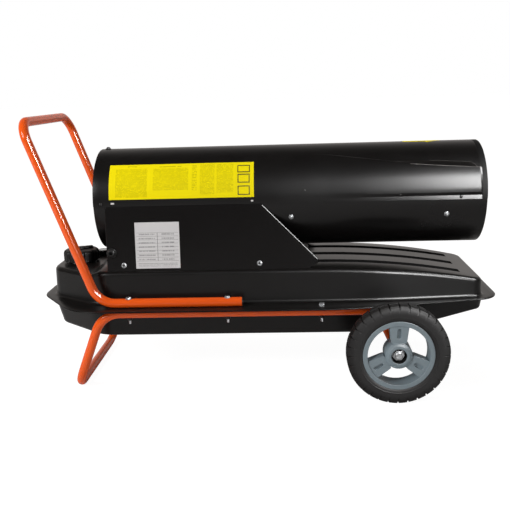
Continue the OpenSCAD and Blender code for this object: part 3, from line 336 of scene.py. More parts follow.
MOTOR_PAINT = finish_material("motor_paint", (0.075, 0.078, 0.082), 0.45, vary=0.2, dust=0.2, peel=0.7,
                              peel_scale=330, grain=0.4, bump=0.25)
MOULDED_BLACK = finish_material("moulded_black", (0.006, 0.0054, 0.0054), 0.40, vary=0.25, vary_scale=30,
                                dust=0.02, scuffs=0.02, peel=0.25, peel_scale=700, grain=0.6, bump=0.14,
                                specular=0.24)
SATIN_BLACK = finish_material("coated_wire_black", (0.007, 0.006, 0.006), 0.30, vary=0.2, dust=0.02, peel=0.5,
                              grain=0.3, bump=0.08, specular=0.35)
RED_PLASTIC = finish_material("rocker_red_plastic", (0.55, 0.025, 0.015), 0.25, vary=0.1, grain=0.1, bump=0.05)
BRASS = finish_material("turned_brass", (0.72, 0.50, 0.17), 0.28, metallic=1.0, vary=0.2, vary_scale=60,
                        grain=0.2, bump=0.08, brushed=(700.0, 60.0, 60.0))
CERAMIC = finish_material("electrode_ceramic_glaze", (0.82, 0.80, 0.74), 0.22, vary=0.06, vary_scale=60,
                          grain=0.2, bump=0.05)
HOSE_RUBBER = finish_material("hose_rubber", (0.022, 0.021, 0.021), 0.55, vary=0.2, dust=0.2, grain=0.7,
                              bump=0.3)
BOARD_GREEN = finish_material("board_lacquer", (0.015, 0.12, 0.04), 0.28, vary=0.3, vary_scale=220, grain=0.2,
                              bump=0.1, dust=0.1)
STRAINER_WHITE = finish_material("strainer_plastic", (0.66, 0.65, 0.58), 0.45, vary=0.12, grain=0.4, bump=0.2)
FLOAT_CORK = finish_material("float_cork", (0.42, 0.25, 0.12), 0.75, vary=0.4, vary_scale=260, grain=0.9,
                             bump=0.6)
PLATE_WHITE = finish_material("tab_white", (0.72, 0.71, 0.70), 0.35, vary=0.06, vary_scale=80, grain=0.1,
                              bump=0.04)
SCALE_PRINT = finish_material("scale_print_white", (0.70, 0.70, 0.69), 0.45, vary=0.06, vary_scale=90,
                              grain=0.1, bump=0.03)
GAUGE_FACE = finish_material("gauge_face_white", (0.78, 0.78, 0.75), 0.45, vary=0.05, vary_scale=90, grain=0.1,
                             bump=0.03)


def lens_material():
    """Clear moulded window, with a little haze."""
    material = bpy.data.materials.new("clear_window")
    material.use_nodes = True
    tree = material.node_tree
    shader = tree.nodes["Principled BSDF"]
    place = tree.nodes.new("ShaderNodeTexCoord")
    haze = group_node(tree, SPECKLE, {"Vector": place.outputs["Object"]}, Scale=120.0, Low=0.3, High=0.9)
    roughness = math_node(tree, "MULTIPLY_ADD", haze.outputs["Mask"], 0.06)
    roughness.node.inputs[2].default_value = 0.03
    tree.links.new(roughness, shader.inputs["Roughness"])
    shader.inputs["Base Color"].default_value = (0.93, 0.95, 0.95, 1.0)
    shader.inputs["Transmission Weight"].default_value = 1.0
    shader.inputs["IOR"].default_value = 1.45
    return material


LENS = lens_material()


# ---------------------------------------------------------------- printed sheets

def group_ruled_print():
    """Faint broken rules inside a window of the sheet's own UV: a mask."""
    group, start, end = make_group(
        "ruled_print",
        [("UV", "NodeSocketVector", None), ("Left", "NodeSocketFloat", 0.1), ("Right", "NodeSocketFloat", 0.4),
         ("Low", "NodeSocketFloat", 0.1), ("High", "NodeSocketFloat", 0.9), ("Rows", "NodeSocketFloat", 30.0),
         ("Breaks", "NodeSocketFloat", 60.0), ("Fill", "NodeSocketFloat", 0.5)],
        [("Mask", "NodeSocketFloat")])
    uv = node(group, "ShaderNodeSeparateXYZ", {"Vector": start.outputs["UV"]})
    u, v = uv.outputs["X"], uv.outputs["Y"]
    inside = 1.0
    for value, low, high in ((u, "Left", "Right"), (v, "Low", "High")):
        inside = math_node(group, "MULTIPLY", inside,
                           math_node(group, "GREATER_THAN", value, start.outputs[low]))
        inside = math_node(group, "MULTIPLY", inside, math_node(group, "LESS_THAN", value, start.outputs[high]))
    row = math_node(group, "MULTIPLY", v, start.outputs["Rows"])
    line = math_node(group, "LESS_THAN", math_node(group, "FRACT", row), start.outputs["Fill"])
    spot = node(group, "ShaderNodeCombineXYZ",
                {"X": math_node(group, "MULTIPLY", u, start.outputs["Breaks"]),
                 "Y": math_node(group, "MULTIPLY", math_node(group, "FLOOR", row), 7.3)})
    broken = node(group, "ShaderNodeTexNoise", {"Vector": spot.outputs["Vector"]}, Scale=1.0, Detail=2.0)
    words = node(group, "ShaderNodeMapRange", {"Value": broken.outputs["Fac"]},
                 **{"From Min": 0.40, "From Max": 0.47})
    mask = math_node(group, "MULTIPLY", math_node(group, "MULTIPLY", inside, line), words.outputs["Result"])
    group.links.new(mask, end.inputs["Mask"])
    return group


RULED = group_ruled_print()


def printed_material(name, ground, ink, blocks, strength, rough=0.42):
    """A laminated sheet: its ground colour, blocks of faint rules, and a slight sheen."""
    material = finish_material(name, ground, rough, vary=0.04, vary_scale=30, peel=0.3, peel_scale=120,
                               grain=0.1, bump=0.03, specular=0.03)
    tree = material.node_tree
    shader = tree.nodes["Principled BSDF"]
    uv = tree.nodes.new("ShaderNodeUVMap")
    uv.uv_map = "sheet"
    colour = shader.inputs["Base Color"].links[0].from_socket
    for block in blocks:
        left, right, low, high, rows, breaks, fill = block
        rules = group_node(tree, RULED, {"UV": uv.outputs["UV"]}, Left=left, Right=right, Low=low, High=high,
                           Rows=rows, Breaks=breaks, Fill=fill)
        colour = mix_colour(tree, math_node(tree, "MULTIPLY", rules.outputs["Mask"], strength), colour,
                            rgba(ink))
    tree.links.new(colour, shader.inputs["Base Color"])
    return material


FILM_YELLOW, YELLOW_INK = (0.98, 0.83, 0.003), (0.20, 0.17, 0.0)
YELLOW_SHEET = printed_material(
    "yellow_sheet", FILM_YELLOW, YELLOW_INK, [
        (0.045, 0.265, 0.06, 0.86, 34, 150, 0.55), (0.305, 0.55, 0.22, 0.86, 34, 150, 0.55),
        (0.345, 0.50, 0.89, 0.925, 28, 90, 0.9), (0.125, 0.19, 0.915, 0.95, 28, 40, 0.9),
        (0.575, 0.61, 0.20, 0.95, 22, 90, 0.5), (0.63, 0.73, 0.10, 0.95, 30, 150, 0.5),
        (0.745, 0.86, 0.14, 0.95, 30, 150, 0.5)], 0.42)
YELLOW_PLAIN = printed_material("yellow_arrow_film", FILM_YELLOW, YELLOW_INK, [], 0.0)
SILVER_SHEET = printed_material(
    "silver_sheet", (0.67, 0.665, 0.67), (0.10, 0.10, 0.11), [
        (0.08, 0.45, 0.14, 0.80, 11, 70, 0.30), (0.60, 0.88, 0.14, 0.80, 11, 70, 0.34),
        (0.06, 0.94, 0.04, 0.12, 30, 110, 0.45)], 0.5)


# ---------------------------------------------------------------- making and placing pieces

def settle(name, bm, material, body="heater", replaces=(), flip=True, sharp=32, merge=1e-4,
           metres=False):
    """Turns a mesh into a finished object that rides on a body."""
    if not metres:
        bmesh.ops.remove_doubles(bm, verts=bm.verts, dist=merge)
        if flip:
            bmesh.ops.recalc_face_normals(bm, faces=bm.faces)
        bmesh.ops.scale(bm, vec=(MM, MM, MM), verts=bm.verts)
    for face in bm.faces:
        face.smooth = True
    mesh = bpy.data.meshes.new(name)
    bm.to_mesh(mesh)
    bm.free()
    mesh.set_sharp_from_angle(angle=math.radians(sharp))
    piece = bpy.data.objects.new(name, mesh)
    bpy.context.scene.collection.objects.link(piece)
    materials = material if isinstance(material, (list, tuple)) else [material]
    for each in materials:
        mesh.materials.append(each)
    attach(piece, body)
    if replaces:
        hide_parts(*replaces)
    return piece


def solidify(piece, thickness, offset=-1.0):
    """Gives a sheet its wall, with sharp free edges."""
    ends = Counter(key for polygon in piece.data.polygons for key in polygon.edge_keys)
    for edge in piece.data.edges:
        if ends[edge.key] == 1:
            edge.use_edge_sharp = True
    wall = piece.modifiers.new("wall", "SOLIDIFY")
    wall.thickness, wall.offset, wall.use_even_offset = thickness * MM, offset, True
    return wall


def outline_edges(bm, points, closed=False):
    """Vertices at points, joined by edges."""
    verts = [bm.verts.new(p) for p in points]
    pairs = list(zip(verts, verts[1:])) + ([(verts[-1], verts[0])] if closed else [])
    return verts, [bm.edges.new(pair) for pair in pairs]


def extrude_rim(bm, edges):
    """Extrudes a run of edges: gives the new vertices, and the edges that join them."""
    made = bmesh.ops.extrude_edge_only(bm, edges=edges)["geom"]
    ring = [g for g in made if isinstance(g, bmesh.types.BMVert)]
    return ring, [g for g in made if isinstance(g, bmesh.types.BMEdge) and all(v in ring for v in g.verts)]


def face_towards(piece, way):
    """Turns a sheet's faces over if most of them look away from a direction."""
    if sum(p.normal.dot(Vector(way)) * p.area for p in piece.data.polygons) < 0:
        piece.data.flip_normals()


def lathe(bm, profile, steps=64, closed=False, angle=2 * math.pi):
    """Spins a profile of (along, radius) points round the X axis."""
    verts, edges = outline_edges(bm, [(along, 0, radius) for along, radius in profile], closed)
    full = abs(angle - 2 * math.pi) < 1e-6
    bmesh.ops.spin(bm, geom=verts + edges, cent=(0, 0, 0), axis=(1, 0, 0), dvec=(0, 0, 0), angle=angle,
                   steps=steps, use_merge=full, use_duplicate=False)
    if full:
        bmesh.ops.remove_doubles(bm, verts=bm.verts, dist=1e-4)
    return bm


def new_lathe(profile, steps=64, closed=False):
    """A turned shape in a mesh of its own."""
    return lathe(bmesh.new(), profile, steps, closed)


def knurl(bm, low, high, beyond, depth, count):
    """Presses shallow flutes into a turned piece, between two places along it and outside a radius."""
    for v in bm.verts:
        if low < v.co.x < high and math.hypot(v.co.y, v.co.z) > beyond:
            scale = 1 - depth * (0.5 + 0.5 * math.cos(count * math.atan2(v.co.z, v.co.y)))
            v.co.y *= scale
            v.co.z *= scale


def move(bm, matrix, verts=None):
    """Moves a mesh, or some of its vertices, by a matrix."""
    bmesh.ops.transform(bm, matrix=matrix, verts=verts if verts is not None else bm.verts)
    return bm


def shift(x, y, z):
    """A matrix that shifts by millimetres."""
    return Matrix.Translation((x, y, z))


def turn(degrees, axis):
    """A matrix that turns by degrees about a named axis."""
    return Matrix.Rotation(math.radians(degrees), 4, axis)


def add_to(bm, other, matrix=None):
    """Adds another bmesh's geometry to this one."""
    if matrix is not None:
        move(other, matrix)
    scratch = bpy.data.meshes.new("scratch")
    other.to_mesh(scratch)
    other.free()
    bm.from_mesh(scratch)
    bpy.data.meshes.remove(scratch)
    return bm


def block(low, high, bevel=0.6, segments=2):
    """A box between two corners, with its edges rounded."""
    bm = bmesh.new()
    size = [h - l for l, h in zip(low, high)]
    middle = [(h + l) / 2 for l, h in zip(low, high)]
    bmesh.ops.create_cube(bm, size=1, matrix=Matrix.LocRotScale(middle, None, size))
    if bevel:
        bmesh.ops.bevel(bm, geom=bm.edges[:], offset=bevel, offset_type="OFFSET", segments=segments,
                        profile=0.5, affect="EDGES", clamp_overlap=True, material=-1)
    return bm


def dressed(name, bevel=0.0, angle=28, dissolve=1.0, segments=2):
    """A copy of a CAD node's mesh, merged, with its edges rounded, in metres."""
    bm = bmesh.new()
    bm.from_mesh(frame["nodes"][name].data)
    bmesh.ops.remove_doubles(bm, verts=bm.verts, dist=2e-6)
    bmesh.ops.dissolve_limit(bm, angle_limit=math.radians(dissolve), verts=bm.verts, edges=bm.edges)
    if bevel:
        limit = math.radians(angle)
        edges = [e for e in bm.edges if len(e.link_faces) == 2 and e.calc_face_angle(0) > limit]
        bmesh.ops.bevel(bm, geom=edges, offset=bevel * MM, offset_type="OFFSET", segments=segments, profile=0.5,
                        affect="EDGES", clamp_overlap=True, material=-1)
    bmesh.ops.triangulate(bm, faces=[f for f in bm.faces if len(f.verts) > 4])
    return bm


def dress_node(name, material, body="heater", bevel=0.5, sharp=35, piece_name=None):
    """Dresses a solid as it is: softened edges and a finish."""
    return settle(piece_name or "dressed_" + name, dressed(name, bevel), material, body, (name,),
                  metres=True, sharp=sharp)


def tube_along(bm, start, axis, stretches, radius, sides=28, spacing=40.0):
    """A round tube: stretches are ("run", length) or ("bend", centre, axis, degrees, steps)."""
    ring = bmesh.ops.create_circle(bm, segments=sides, radius=radius, cap_ends=False)["verts"]
    move(bm, shift(*start) @ Vector((0, 0, 1)).rotation_difference(Vector(axis)).to_matrix().to_4x4(), ring)
    heading = Vector(axis).normalized()
    for stretch in stretches:
        edges = list({e for v in ring for e in v.link_edges if all(w in ring for w in e.verts)})
        if stretch[0] == "run":
            steps = max(1, round(stretch[1] / spacing))
            for _ in range(steps):
                ring, edges = extrude_rim(bm, edges)
                bmesh.ops.translate(bm, vec=heading * (stretch[1] / steps), verts=ring)
        else:
            _, centre, about, degrees, steps = stretch
            made = bmesh.ops.spin(bm, geom=ring + edges, cent=centre, axis=about, dvec=(0, 0, 0),
                                  angle=math.radians(degrees), steps=steps, use_duplicate=False)
            ring = [g for g in made["geom_last"] if isinstance(g, bmesh.types.BMVert)]
            heading = Matrix.Rotation(math.radians(degrees), 3, about) @ heading
    return ring


def mirror_y(bm):
    """Adds the mirror image across the heater's middle plane, and joins what meets on it."""
    copy = bmesh.ops.duplicate(bm, geom=bm.verts[:] + bm.edges[:] + bm.faces[:])["geom"]
    verts = [g for g in copy if isinstance(g, bmesh.types.BMVert)]
    bmesh.ops.scale(bm, vec=(1, -1, 1), verts=verts)
    bmesh.ops.remove_doubles(bm, verts=bm.verts, dist=0.01)
    bmesh.ops.recalc_face_normals(bm, faces=bm.faces)
    return bm


def lerp_table(table, x):
    """Linear interpolation in a list of (x, value), held at its ends."""
    if x <= table[0][0]:
        return table[0][1]
    for (x0, v0), (x1, v1) in zip(table, table[1:]):
        if x <= x1:
            return v0 + (v1 - v0) * (x - x0) / (x1 - x0)
    return table[-1][1]


def smoothstep(value):
    """A smooth rise from 0 to 1."""
    value = min(1.0, max(0.0, value))
    return value * value * (3 - 2 * value)


# ---------------------------------------------------------------- barrel

WING_FROM, WING_TO, WING_RISE = 123.0, 441.0, 8.0
UPPER_CREASE = [(123, 58), (196, 51), (267, 44.5), (356, 43.7), (425, 40.6), (439, 32.4)]
SECOND_CREASE = [(123, 57), (196, 48.5), (259, 42.6), (306, 38), (370, 34.6), (439, 31.8)]
# CREASE_BAND is the width, in degrees, of the strip along the second crease that carries the painted highlight.
LAP_ANGLE, CREASE_BAND = 0.53, 0.42
LOWER_LAP_ANGLE, LAP_STEP = 4.3, 1.5
SHELL_STEPS, SHELL_WALL = 92, 1.2
WING_CLOSE, WING_SINK = 3.6, 0.15
# The columns on both sides of a crease in the wing, and where the painted highlight along it starts.
HIGHLIGHT_FROM = {(19, 20): 300, (22, 23): 345}
SHADED, HIGHLIGHTED = 1, 2


def wing_columns(x):
    """Heights above the seam, in degrees, that the shell's columns are drawn to at x."""
    upper = lerp_table(UPPER_CREASE, x)
    second = min(lerp_table(SECOND_CREASE, x), upper - 0.8)
    return [(0, -LAP_ANGLE), (3, 3.6), (5, 7.0), (7, 10.5), (19, second), (20, second + CREASE_BAND),
            (22, upper - 0.3), (23, upper), (34, 66), (46, 90)]


def wing_height(x, column):
    """How far the pressed wing stands out of the barrel."""
    along = (x - WING_FROM) / (WING_TO - WING_FROM)
    rise = WING_RISE * max(0.0, along) if x <= WING_TO else 0.0
    if x > WING_TO - WING_CLOSE:
        rise *= 1 - WING_SINK * (x - WING_TO + WING_CLOSE) / WING_CLOSE
    across = lerp_table([(0, 0.2), (3, 0.0), (5, 0.94), (7, 1.0), (19, 1.0), (20, 0.96), (22, 0.04), (23, 0.0)],
                        column)
    return rise * across


def shell_stations(step, fine_from=None, fine_step=None):
    """Stations along the barrel, with a rolled edge at both ends: (x, how far the edge has turned in)."""
    ends = [(0.0, 1.5), (0.25, 0.75), (0.9, 0.2), (2.2, 0.0)]
    middle, x = [], BACK_X + 14
    while x < FRONT_X - 3:
        middle.append((x, 0.0))
        x += fine_step if fine_from is not None and x >= fine_from else step
    return [(BACK_X + d, t) for d, t in ends] + middle + [(FRONT_X - d, t) for d, t in reversed(ends)]


def upper_shell():
    """The upper half of the barrel, with the wing pressed into both sides."""
    stations = [s for s in shell_stations(33, 116, 8) if abs(s[0] - 440) > 4.5]
    stations += [(437.4, 0.0), (441.0, 0.0), (441.4, 0.0), (443.5, 0.0)]
    stations.sort()
    bm = bmesh.new()
    verts, edges = outline_edges(bm, [(x, -1, 0) for x, _ in stations])
    sweep = math.radians(180 + 2 * LAP_ANGLE)
    bmesh.ops.spin(bm, geom=verts + edges, cent=(0, 0, 0), axis=(-1, 0, 0), dvec=(0, 0, 0), angle=sweep,
                   steps=SHELL_STEPS, use_duplicate=False)
    turned_in = dict((round(x, 3), t) for x, t in stations)
    columns = {}
    for v in bm.verts:
        column = round(math.atan2(v.co.z, -v.co.y) % (2 * math.pi) / sweep * SHELL_STEPS)
        near = column <= SHELL_STEPS / 2
        columns[v] = k = column if near else SHELL_STEPS - column
        height = lerp_table(wing_columns(v.co.x), k)
        radius = BARREL_R - turned_in[round(v.co.x, 3)] + wing_height(v.co.x, k)
        a = math.radians(height)
        v.co.y = radius * math.cos(a) * (-1 if near else 1)
        v.co.z = BARREL_Z + radius * math.sin(a)
    # Past the wing's end the dull shaded paint stands in for shade; the strips along the creases get the
    # painted highlight.
    for face in bm.faces:
        x, across = face.calc_center_median().x, tuple(sorted({columns[v] for v in face.verts}))
        if x > WING_TO + 0.3:
            face.material_index = SHADED
        elif x > HIGHLIGHT_FROM.get(across, FRONT_X):
            face.material_index = HIGHLIGHTED
    piece = settle("barrel_upper_shell", bm, (BODY_PAINT, PLATE_BLACK, CREASE_HIGHLIGHT_PAINT), replaces=("upper_shell",),
                   sharp=17)
    solidify(piece, SHELL_WALL)
    return piece


def lower_shell():
    """The lower half of the barrel, which the upper half laps over."""
    bm = bmesh.new()
    verts, edges = outline_edges(bm, [(x, -(BARREL_R - LAP_STEP - t), 0) for x, t in shell_stations(60)])
    sweep = math.radians(180 + 2 * LOWER_LAP_ANGLE)
    first = Matrix.Rotation(math.radians(-LOWER_LAP_ANGLE), 3, "X")
    bmesh.ops.rotate(bm, verts=verts, cent=(0, 0, 0), matrix=first)
    bmesh.ops.spin(bm, geom=verts + edges, cent=(0, 0, 0), axis=(1, 0, 0), dvec=(0, 0, 0), angle=sweep,
                   steps=90, use_duplicate=False)
    bmesh.ops.translate(bm, vec=(0, 0, BARREL_Z), verts=bm.verts)
    piece = settle("barrel_lower_shell", bm, BODY_PAINT, replaces=("lower_shell",), sharp=20)
    solidify(piece, SHELL_WALL)
    return piece


def barrel_point(x, height, out=0.0, side=-1):
    """The frame on the barrel's skin at a height in degrees above the seam; its Z points outwards."""
    a = math.radians(height)
    outward = Vector((0, side * math.cos(a), math.sin(a)))
    along = Vector((1, 0, 0))
    across = outward.cross(along)
    matrix = Matrix((along, across, outward)).transposed().to_4x4()
    matrix.translation = Vector((x, 0, BARREL_Z)) + outward * (BARREL_R + out)
    return matrix


upper_shell()
lower_shell()


# ---------------------------------------------------------------- fuel tank

def corner_points(before, point, after, radius, steps):
    """The arc that rounds a corner of an outline."""
    point = Vector(point)
    u, v = (Vector(before) - point).normalized(), (Vector(after) - point).normalized()
    half = u.angle(v) / 2
    if radius <= 0.01:
        return [point]
    centre = point + (u + v).normalized() * radius / math.sin(half)
    reach = radius / math.tan(half)
    start, end = point + u * reach - centre, point + v * reach - centre
    a0, a1 = math.atan2(start.y, start.x), math.atan2(end.y, end.x)
    sweep = (a1 - a0 + 3 * math.pi) % (2 * math.pi) - math.pi
    return [centre + radius * Vector((math.cos(a0 + sweep * k / steps), math.sin(a0 + sweep * k / steps)))
            for k in range(steps + 1)]


def half_outline(points, radii, inset, steps=9):
    """The +Y half of an outline that is the same on both sides of the X axis, moved inwards by inset."""
    full = [Vector((points[0][0], -points[0][1]))] + [Vector(p) for p in points]
    full.append(Vector((points[-1][0], -points[-1][1])))
    moved = []
    for i in range(1, len(full) - 1):
        u, v = (full[i - 1] - full[i]).normalized(), (full[i + 1] - full[i]).normalized()
        half = u.angle(v) / 2
        moved.append(full[i] + (u + v).normalized() * inset / math.sin(half))
    ring = [Vector((moved[0].x, -moved[0].y))] + moved + [Vector((moved[-1].x, -moved[-1].y))]
    result = []
    for i in range(1, len(ring) - 1):
        result += corner_points(ring[i - 1], ring[i], ring[i + 1], max(radii[i - 1] - inset, 2.0), steps)
    return result


WALL = [(-458, 48), (-343, 131), (250, 131), (452, 112)]
PAN_WALL = [(-463, 48), (-343, 131), (250, 131), (463, 111)]
WALL_RADII = [45, 95, 800, 24]
FLANGE = [(-482.5, 45), (-381.5, 182), (171, 182), (482.5, 119.76)]
FLANGE_RADII = [60, 110, 600, 50]
GROOVE_YS, GROOVE_FROM, GROOVE_TO = (-69.0, 0.0, 69.0), 96.0, 398.0
GROOVE_LOWEST_Z = 205
GROOVE_SHAPE = [(11.2, 6.0), (11.4, 5.7), (11.9, 0.35), (12.0, 0.0)]
# The tank's top: the step up from the deck, the crest where the long fall starts, the drop at the edges.
STEP_FROM, STEP_TO = -353, -334
CREST_X, FALL_R = 120, 1600
EDGE_DROP, EDGE_FROM, EDGE_WIDTH = 3.0, 88, 43
PAN_FLOOR = [(-463, BOTTOM_Z + 7.8), (-345, BOTTOM_Z), (269, BOTTOM_Z), (451, BOTTOM_Z + 42.9)]


def add_stations(outline, xs):
    """The outline with points put in at the given X, and long straight stretches divided."""
    result = [outline[0]]
    for a, b in zip(outline, outline[1:]):
        inner = sorted({x for x in xs if a.x + 0.8 < x < b.x - 0.8})
        marks = [a.x] + inner + [b.x]
        stops = []
        for m, n in zip(marks, marks[1:]):
            pieces = max(1, math.ceil((n - m) / 22))
            stops += [m + (n - m) * k / pieces for k in range(1, pieces + 1)]
        if b.x - a.x < 1e-6:
            result.append(b)
            continue
        result += [a.lerp(b, (x - a.x) / (b.x - a.x)) for x in stops]
    return result


def outline_outwards(outline, i):
    """The outward direction at point i of a +Y half outline."""
    before = outline[i - 1] if i else Vector((outline[0].x, -outline[0].y))
    after = outline[i + 1] if i < len(outline) - 1 else Vector((outline[-1].x, -outline[-1].y))
    along = (after - before).normalized()
    return Vector((-along.y, along.x))


def flange_reach(point, outwards, outline):
    """How far it is from a point, along outwards, to the flange's outline."""
    ring = [Vector((p.x, -p.y)) for p in reversed(outline)] + outline
    best = None
    for a, b in zip(ring, ring[1:] + ring[:1]):
        edge = b - a
        det = outwards.x * -edge.y + outwards.y * edge.x
        if abs(det) < 1e-9:
            continue
        to = a - point
        t = (to.x * -edge.y + to.y * edge.x) / det
        s = (outwards.x * to.y - outwards.y * to.x) / det
        if -1e-6 <= s <= 1 + 1e-6 and t > 0 and (best is None or t < best):
            best = t
    return best


def groove_depth(x, y):
    """How deep the three grooves in the tank's top are at a point."""
    past = max(GROOVE_FROM - x, 0, x - GROOVE_TO)
    away = min(math.hypot(past, y - gy) for gy in GROOVE_YS)
    return lerp_table(GROOVE_SHAPE, away)


def hood_z(x, y):
    """Height of the tank's top: a low deck, the hood, and the long fall to the outlet end."""
    if x < CREST_X:
        side = lerp_table([(STEP_FROM, DECK_Z), (STEP_FROM + 2, DECK_Z + 0.4), (STEP_TO - 2, TOP_Z - 0.4),
                           (STEP_TO, TOP_Z)], x)
    else:
        side = TOP_Z - FALL_R + math.sqrt(FALL_R ** 2 - (x - CREST_X) ** 2)
    drop = EDGE_DROP * (max(0.0, abs(y) - EDGE_FROM) / EDGE_WIDTH) ** 1.8
    if x < STEP_TO:
        drop *= smoothstep((x - STEP_FROM) / (STEP_TO - STEP_FROM))
    else:
        drop *= 1 - 0.6 * smoothstep((x - 250) / 170)
    return side - drop - groove_depth(x, y)


def floor_z(x, y):
    """Height of the tank's underside, the same right across; the bend at its outlet end is rounded."""
    bend_x, rounding, over = PAN_FLOOR[2][0], 0.4, 8
    return lerp_table(PAN_FLOOR, x) + rounding * max(0.0, 1 - abs(x - bend_x) / over) ** 2


TOP_LINES = [0, 11.2, 11.4, 11.9, 12.0, 22, 34.5, 46, 57.0, 57.1, 57.6, 57.8, 69, 80.2, 80.4, 80.9, 81.0]


def pressed_pan(name, node_name, wall, inset, lines, height, rings, stations, up):
    """A tank pressing: a shaped top on a grid, and rings that turn down the walls and out to the flange."""
    outline = add_stations(half_outline(wall, WALL_RADII, inset), stations)
    flange = half_outline(FLANGE, FLANGE_RADII, 0.0, 12)
    outer, taper = [0.25, 0.5, 0.75, 1.0], 0.86
    half_lines = len(lines) + len(outer)
    rows = 2 * half_lines - 1
    bm = bmesh.new()
    bmesh.ops.create_grid(bm, x_segments=len(outline) - 1, y_segments=rows - 1, size=1)
    outwards = bm.verts.layers.float_vector.new("outwards")
    for v in bm.verts:
        i = round((v.co.x + 1) / 2 * (len(outline) - 1))
        j = round((v.co.y + 1) / 2 * (rows - 1)) - (half_lines - 1)
        point = outline[i]
        scale = min(1.0, taper * point.y / lines[-1])
        k = abs(j)
        if k < len(lines):
            y = lines[k] * scale
        else:
            inner = lines[-1] * scale
            y = inner + (point.y - inner) * outer[k - len(lines)]
        sign = -1 if j < 0 else 1
        v.co = (point.x, sign * y, height(point.x, y))
        if k == half_lines - 1:
            way = outline_outwards(outline, i)
            v[outwards] = (way.x, sign * way.y, 0)
        elif i in (0, len(outline) - 1):
            v[outwards] = (-1 if i == 0 else 1, 0, 0)
    edges = [e for e in bm.edges if e.is_boundary]
    for ring in rings:
        verts, edges = extrude_rim(bm, edges)
        for v in verts:
            way = Vector(v[outwards])
            if ring[0] == "step":
                v.co += way * ring[1]
                v.co.z += ring[2]
            elif ring[0] == "level":
                v.co += way * ring[1]
                v.co.z = ring[2]
            elif ring[0] == "draft":
                v.co += way * (ring[1] * (1 - 0.92 * max(0.0, way.x)))
                v.co.z = ring[2]
            else:
                reach = flange_reach(Vector((v.co.x, v.co.y)), Vector((way.x, way.y)).normalized(), flange)
                v.co += way.normalized() * (reach * ring[1] - ring[2])
                v.co.z = ring[3]
    # Faces of the grooves in the tank's top take the darker, duller paint: painted shade.
    for face in bm.faces:
        deep = max(groove_depth(v.co.x, v.co.y) for v in face.verts) > 0.1
        face.material_index = int(up and deep and face.calc_center_median().z > GROOVE_LOWEST_Z)
    piece = settle(name, bm, (TANK_PAINT, GROOVE_SHADE_PAINT), replaces=(node_name,), sharp=42)
    face_towards(piece, (0, 0, 1 if up else -1))
    solidify(piece, SHEET)
    return piece


def quarter_rings(radius, steps, sign):
    """Ring steps round a quarter circle: out and then down (sign -1), or out and then up (sign +1)."""
    result, last = [], (0.0, 0.0)
    for k in range(1, steps + 1):
        a = math.pi / 2 * k / steps
        now = (radius * math.sin(a), radius * (1 - math.cos(a)))
        result.append(("step", now[0] - last[0], sign * (now[1] - last[1])))
        last = now
    return result


def foot_fillet(radius, level, steps, sign, draft):
    """Rings that turn from the wall out into the flange: level is the flange's surface."""
    result, last = [("draft", draft, level - sign * radius)], 0.0
    for k in range(1, steps + 1):
        a = math.pi / 2 * k / steps
        out = radius * (1 - math.cos(a))
        result.append(("level", out - last, level - sign * radius * (1 - math.sin(a))))
        last = out
    return result


def tank():
    """Both pressings of the fuel tank, with their flanges."""
    groove_marks = [84.0, 84.1, 84.6, 84.8, GROOVE_FROM, GROOVE_TO, 409.2, 409.4, 409.9, 410.0]
    top = quarter_rings(9, 6, -1) + foot_fillet(7, SEAM_Z + SHEET, 5, -1,
                                                1.2) + [("flange", 0.5, 0.0, SEAM_Z + SHEET),
                                                        ("flange", 1.0, 1.0, SEAM_Z + SHEET),
                                                        ("flange", 1.0, 0.35, SEAM_Z + 1.25),
                                                        ("flange", 1.0, 0.0, SEAM_Z + 0.6)]
    pressed_pan("tank_top_pressing", "tank_upper", WALL, 10.2, TOP_LINES, hood_z, top,
                [-360, -355, -353, -351, -346, -341, -336, -334, -330] + groove_marks, True)
    below = quarter_rings(10, 6, 1) + foot_fillet(5, SEAM_Z - SHEET, 4, 1,
                                                  12.0) + [("flange", 0.5, 0.0, SEAM_Z - SHEET),
                                                           ("flange", 1.0, 1.0, SEAM_Z - SHEET),
                                                           ("flange", 1.0, 0.35, SEAM_Z - 1.25),
                                                           ("flange", 1.0, 0.0, SEAM_Z - 0.6)]
    pressed_pan("tank_bottom_pressing", "tank_lower", PAN_WALL, 22, [0, 20, 45, 70], floor_z, below,
                [-347, -345, -343, 261, 265, 269, 273, 277], False)


tank()


# ---------------------------------------------------------------- frame tubes

TUBE_WALL, BOLT_FLAT, DROP_PAST_AXLE = 1.5, 0.8, 16


def handle_tube():
    """The upper frame tube: two legs along the tank, the rising arms and the handle bar."""
    knee_x, top_x, top_z, end_x = -333.6, -460.5, 557.0, -40.0
    lean = math.atan2(knee_x - top_x, top_z - UPPER_TUBE_Z)
    leg = math.hypot(knee_x - top_x, top_z - UPPER_TUBE_Z)
    top_bend, knee_bend, turned = 40.0, 50.0, math.pi / 2 - lean
    knee = knee_bend * math.tan(turned / 2)
    up = Vector((-math.sin(lean), 0, math.cos(lean)))
    top = Vector((knee_x, 0, UPPER_TUBE_Z)) + up * leg
    corner = top + Vector((0, -(TUBE_Y - top_bend), 0)) - up * top_bend
    plane = Vector((0, -1, 0)).cross(-up)
    knee_centre = Vector((knee_x + knee, -TUBE_Y, UPPER_TUBE_Z + knee_bend))
    bm = bmesh.new()
    stretches = [("run", TUBE_Y - top_bend), ("bend", corner, plane, 90, 14), ("run", leg - top_bend - knee),
                 ("bend", knee_centre, (0, -1, 0), math.degrees(turned), 14), ("run", end_x - knee_x - knee)]
    tube_along(bm, top, (0, -1, 0), stretches, TUBE_R, 32, 4)
    for v in bm.verts:
        for x in BOLT_XS[:2]:
            if math.hypot(v.co.x - x, v.co.y + TUBE_Y) < 8 and abs(v.co.z - UPPER_TUBE_Z) < TUBE_R + 1:
                v.co.z = min(v.co.z, UPPER_TUBE_Z + TUBE_R - BOLT_FLAT)
    mirror_y(bm)
    piece = settle("handle_tube_bent", bm, FRAME_PAINT, replaces=("handle_tube",),
                   sharp=60)
    solidify(piece, TUBE_WALL)


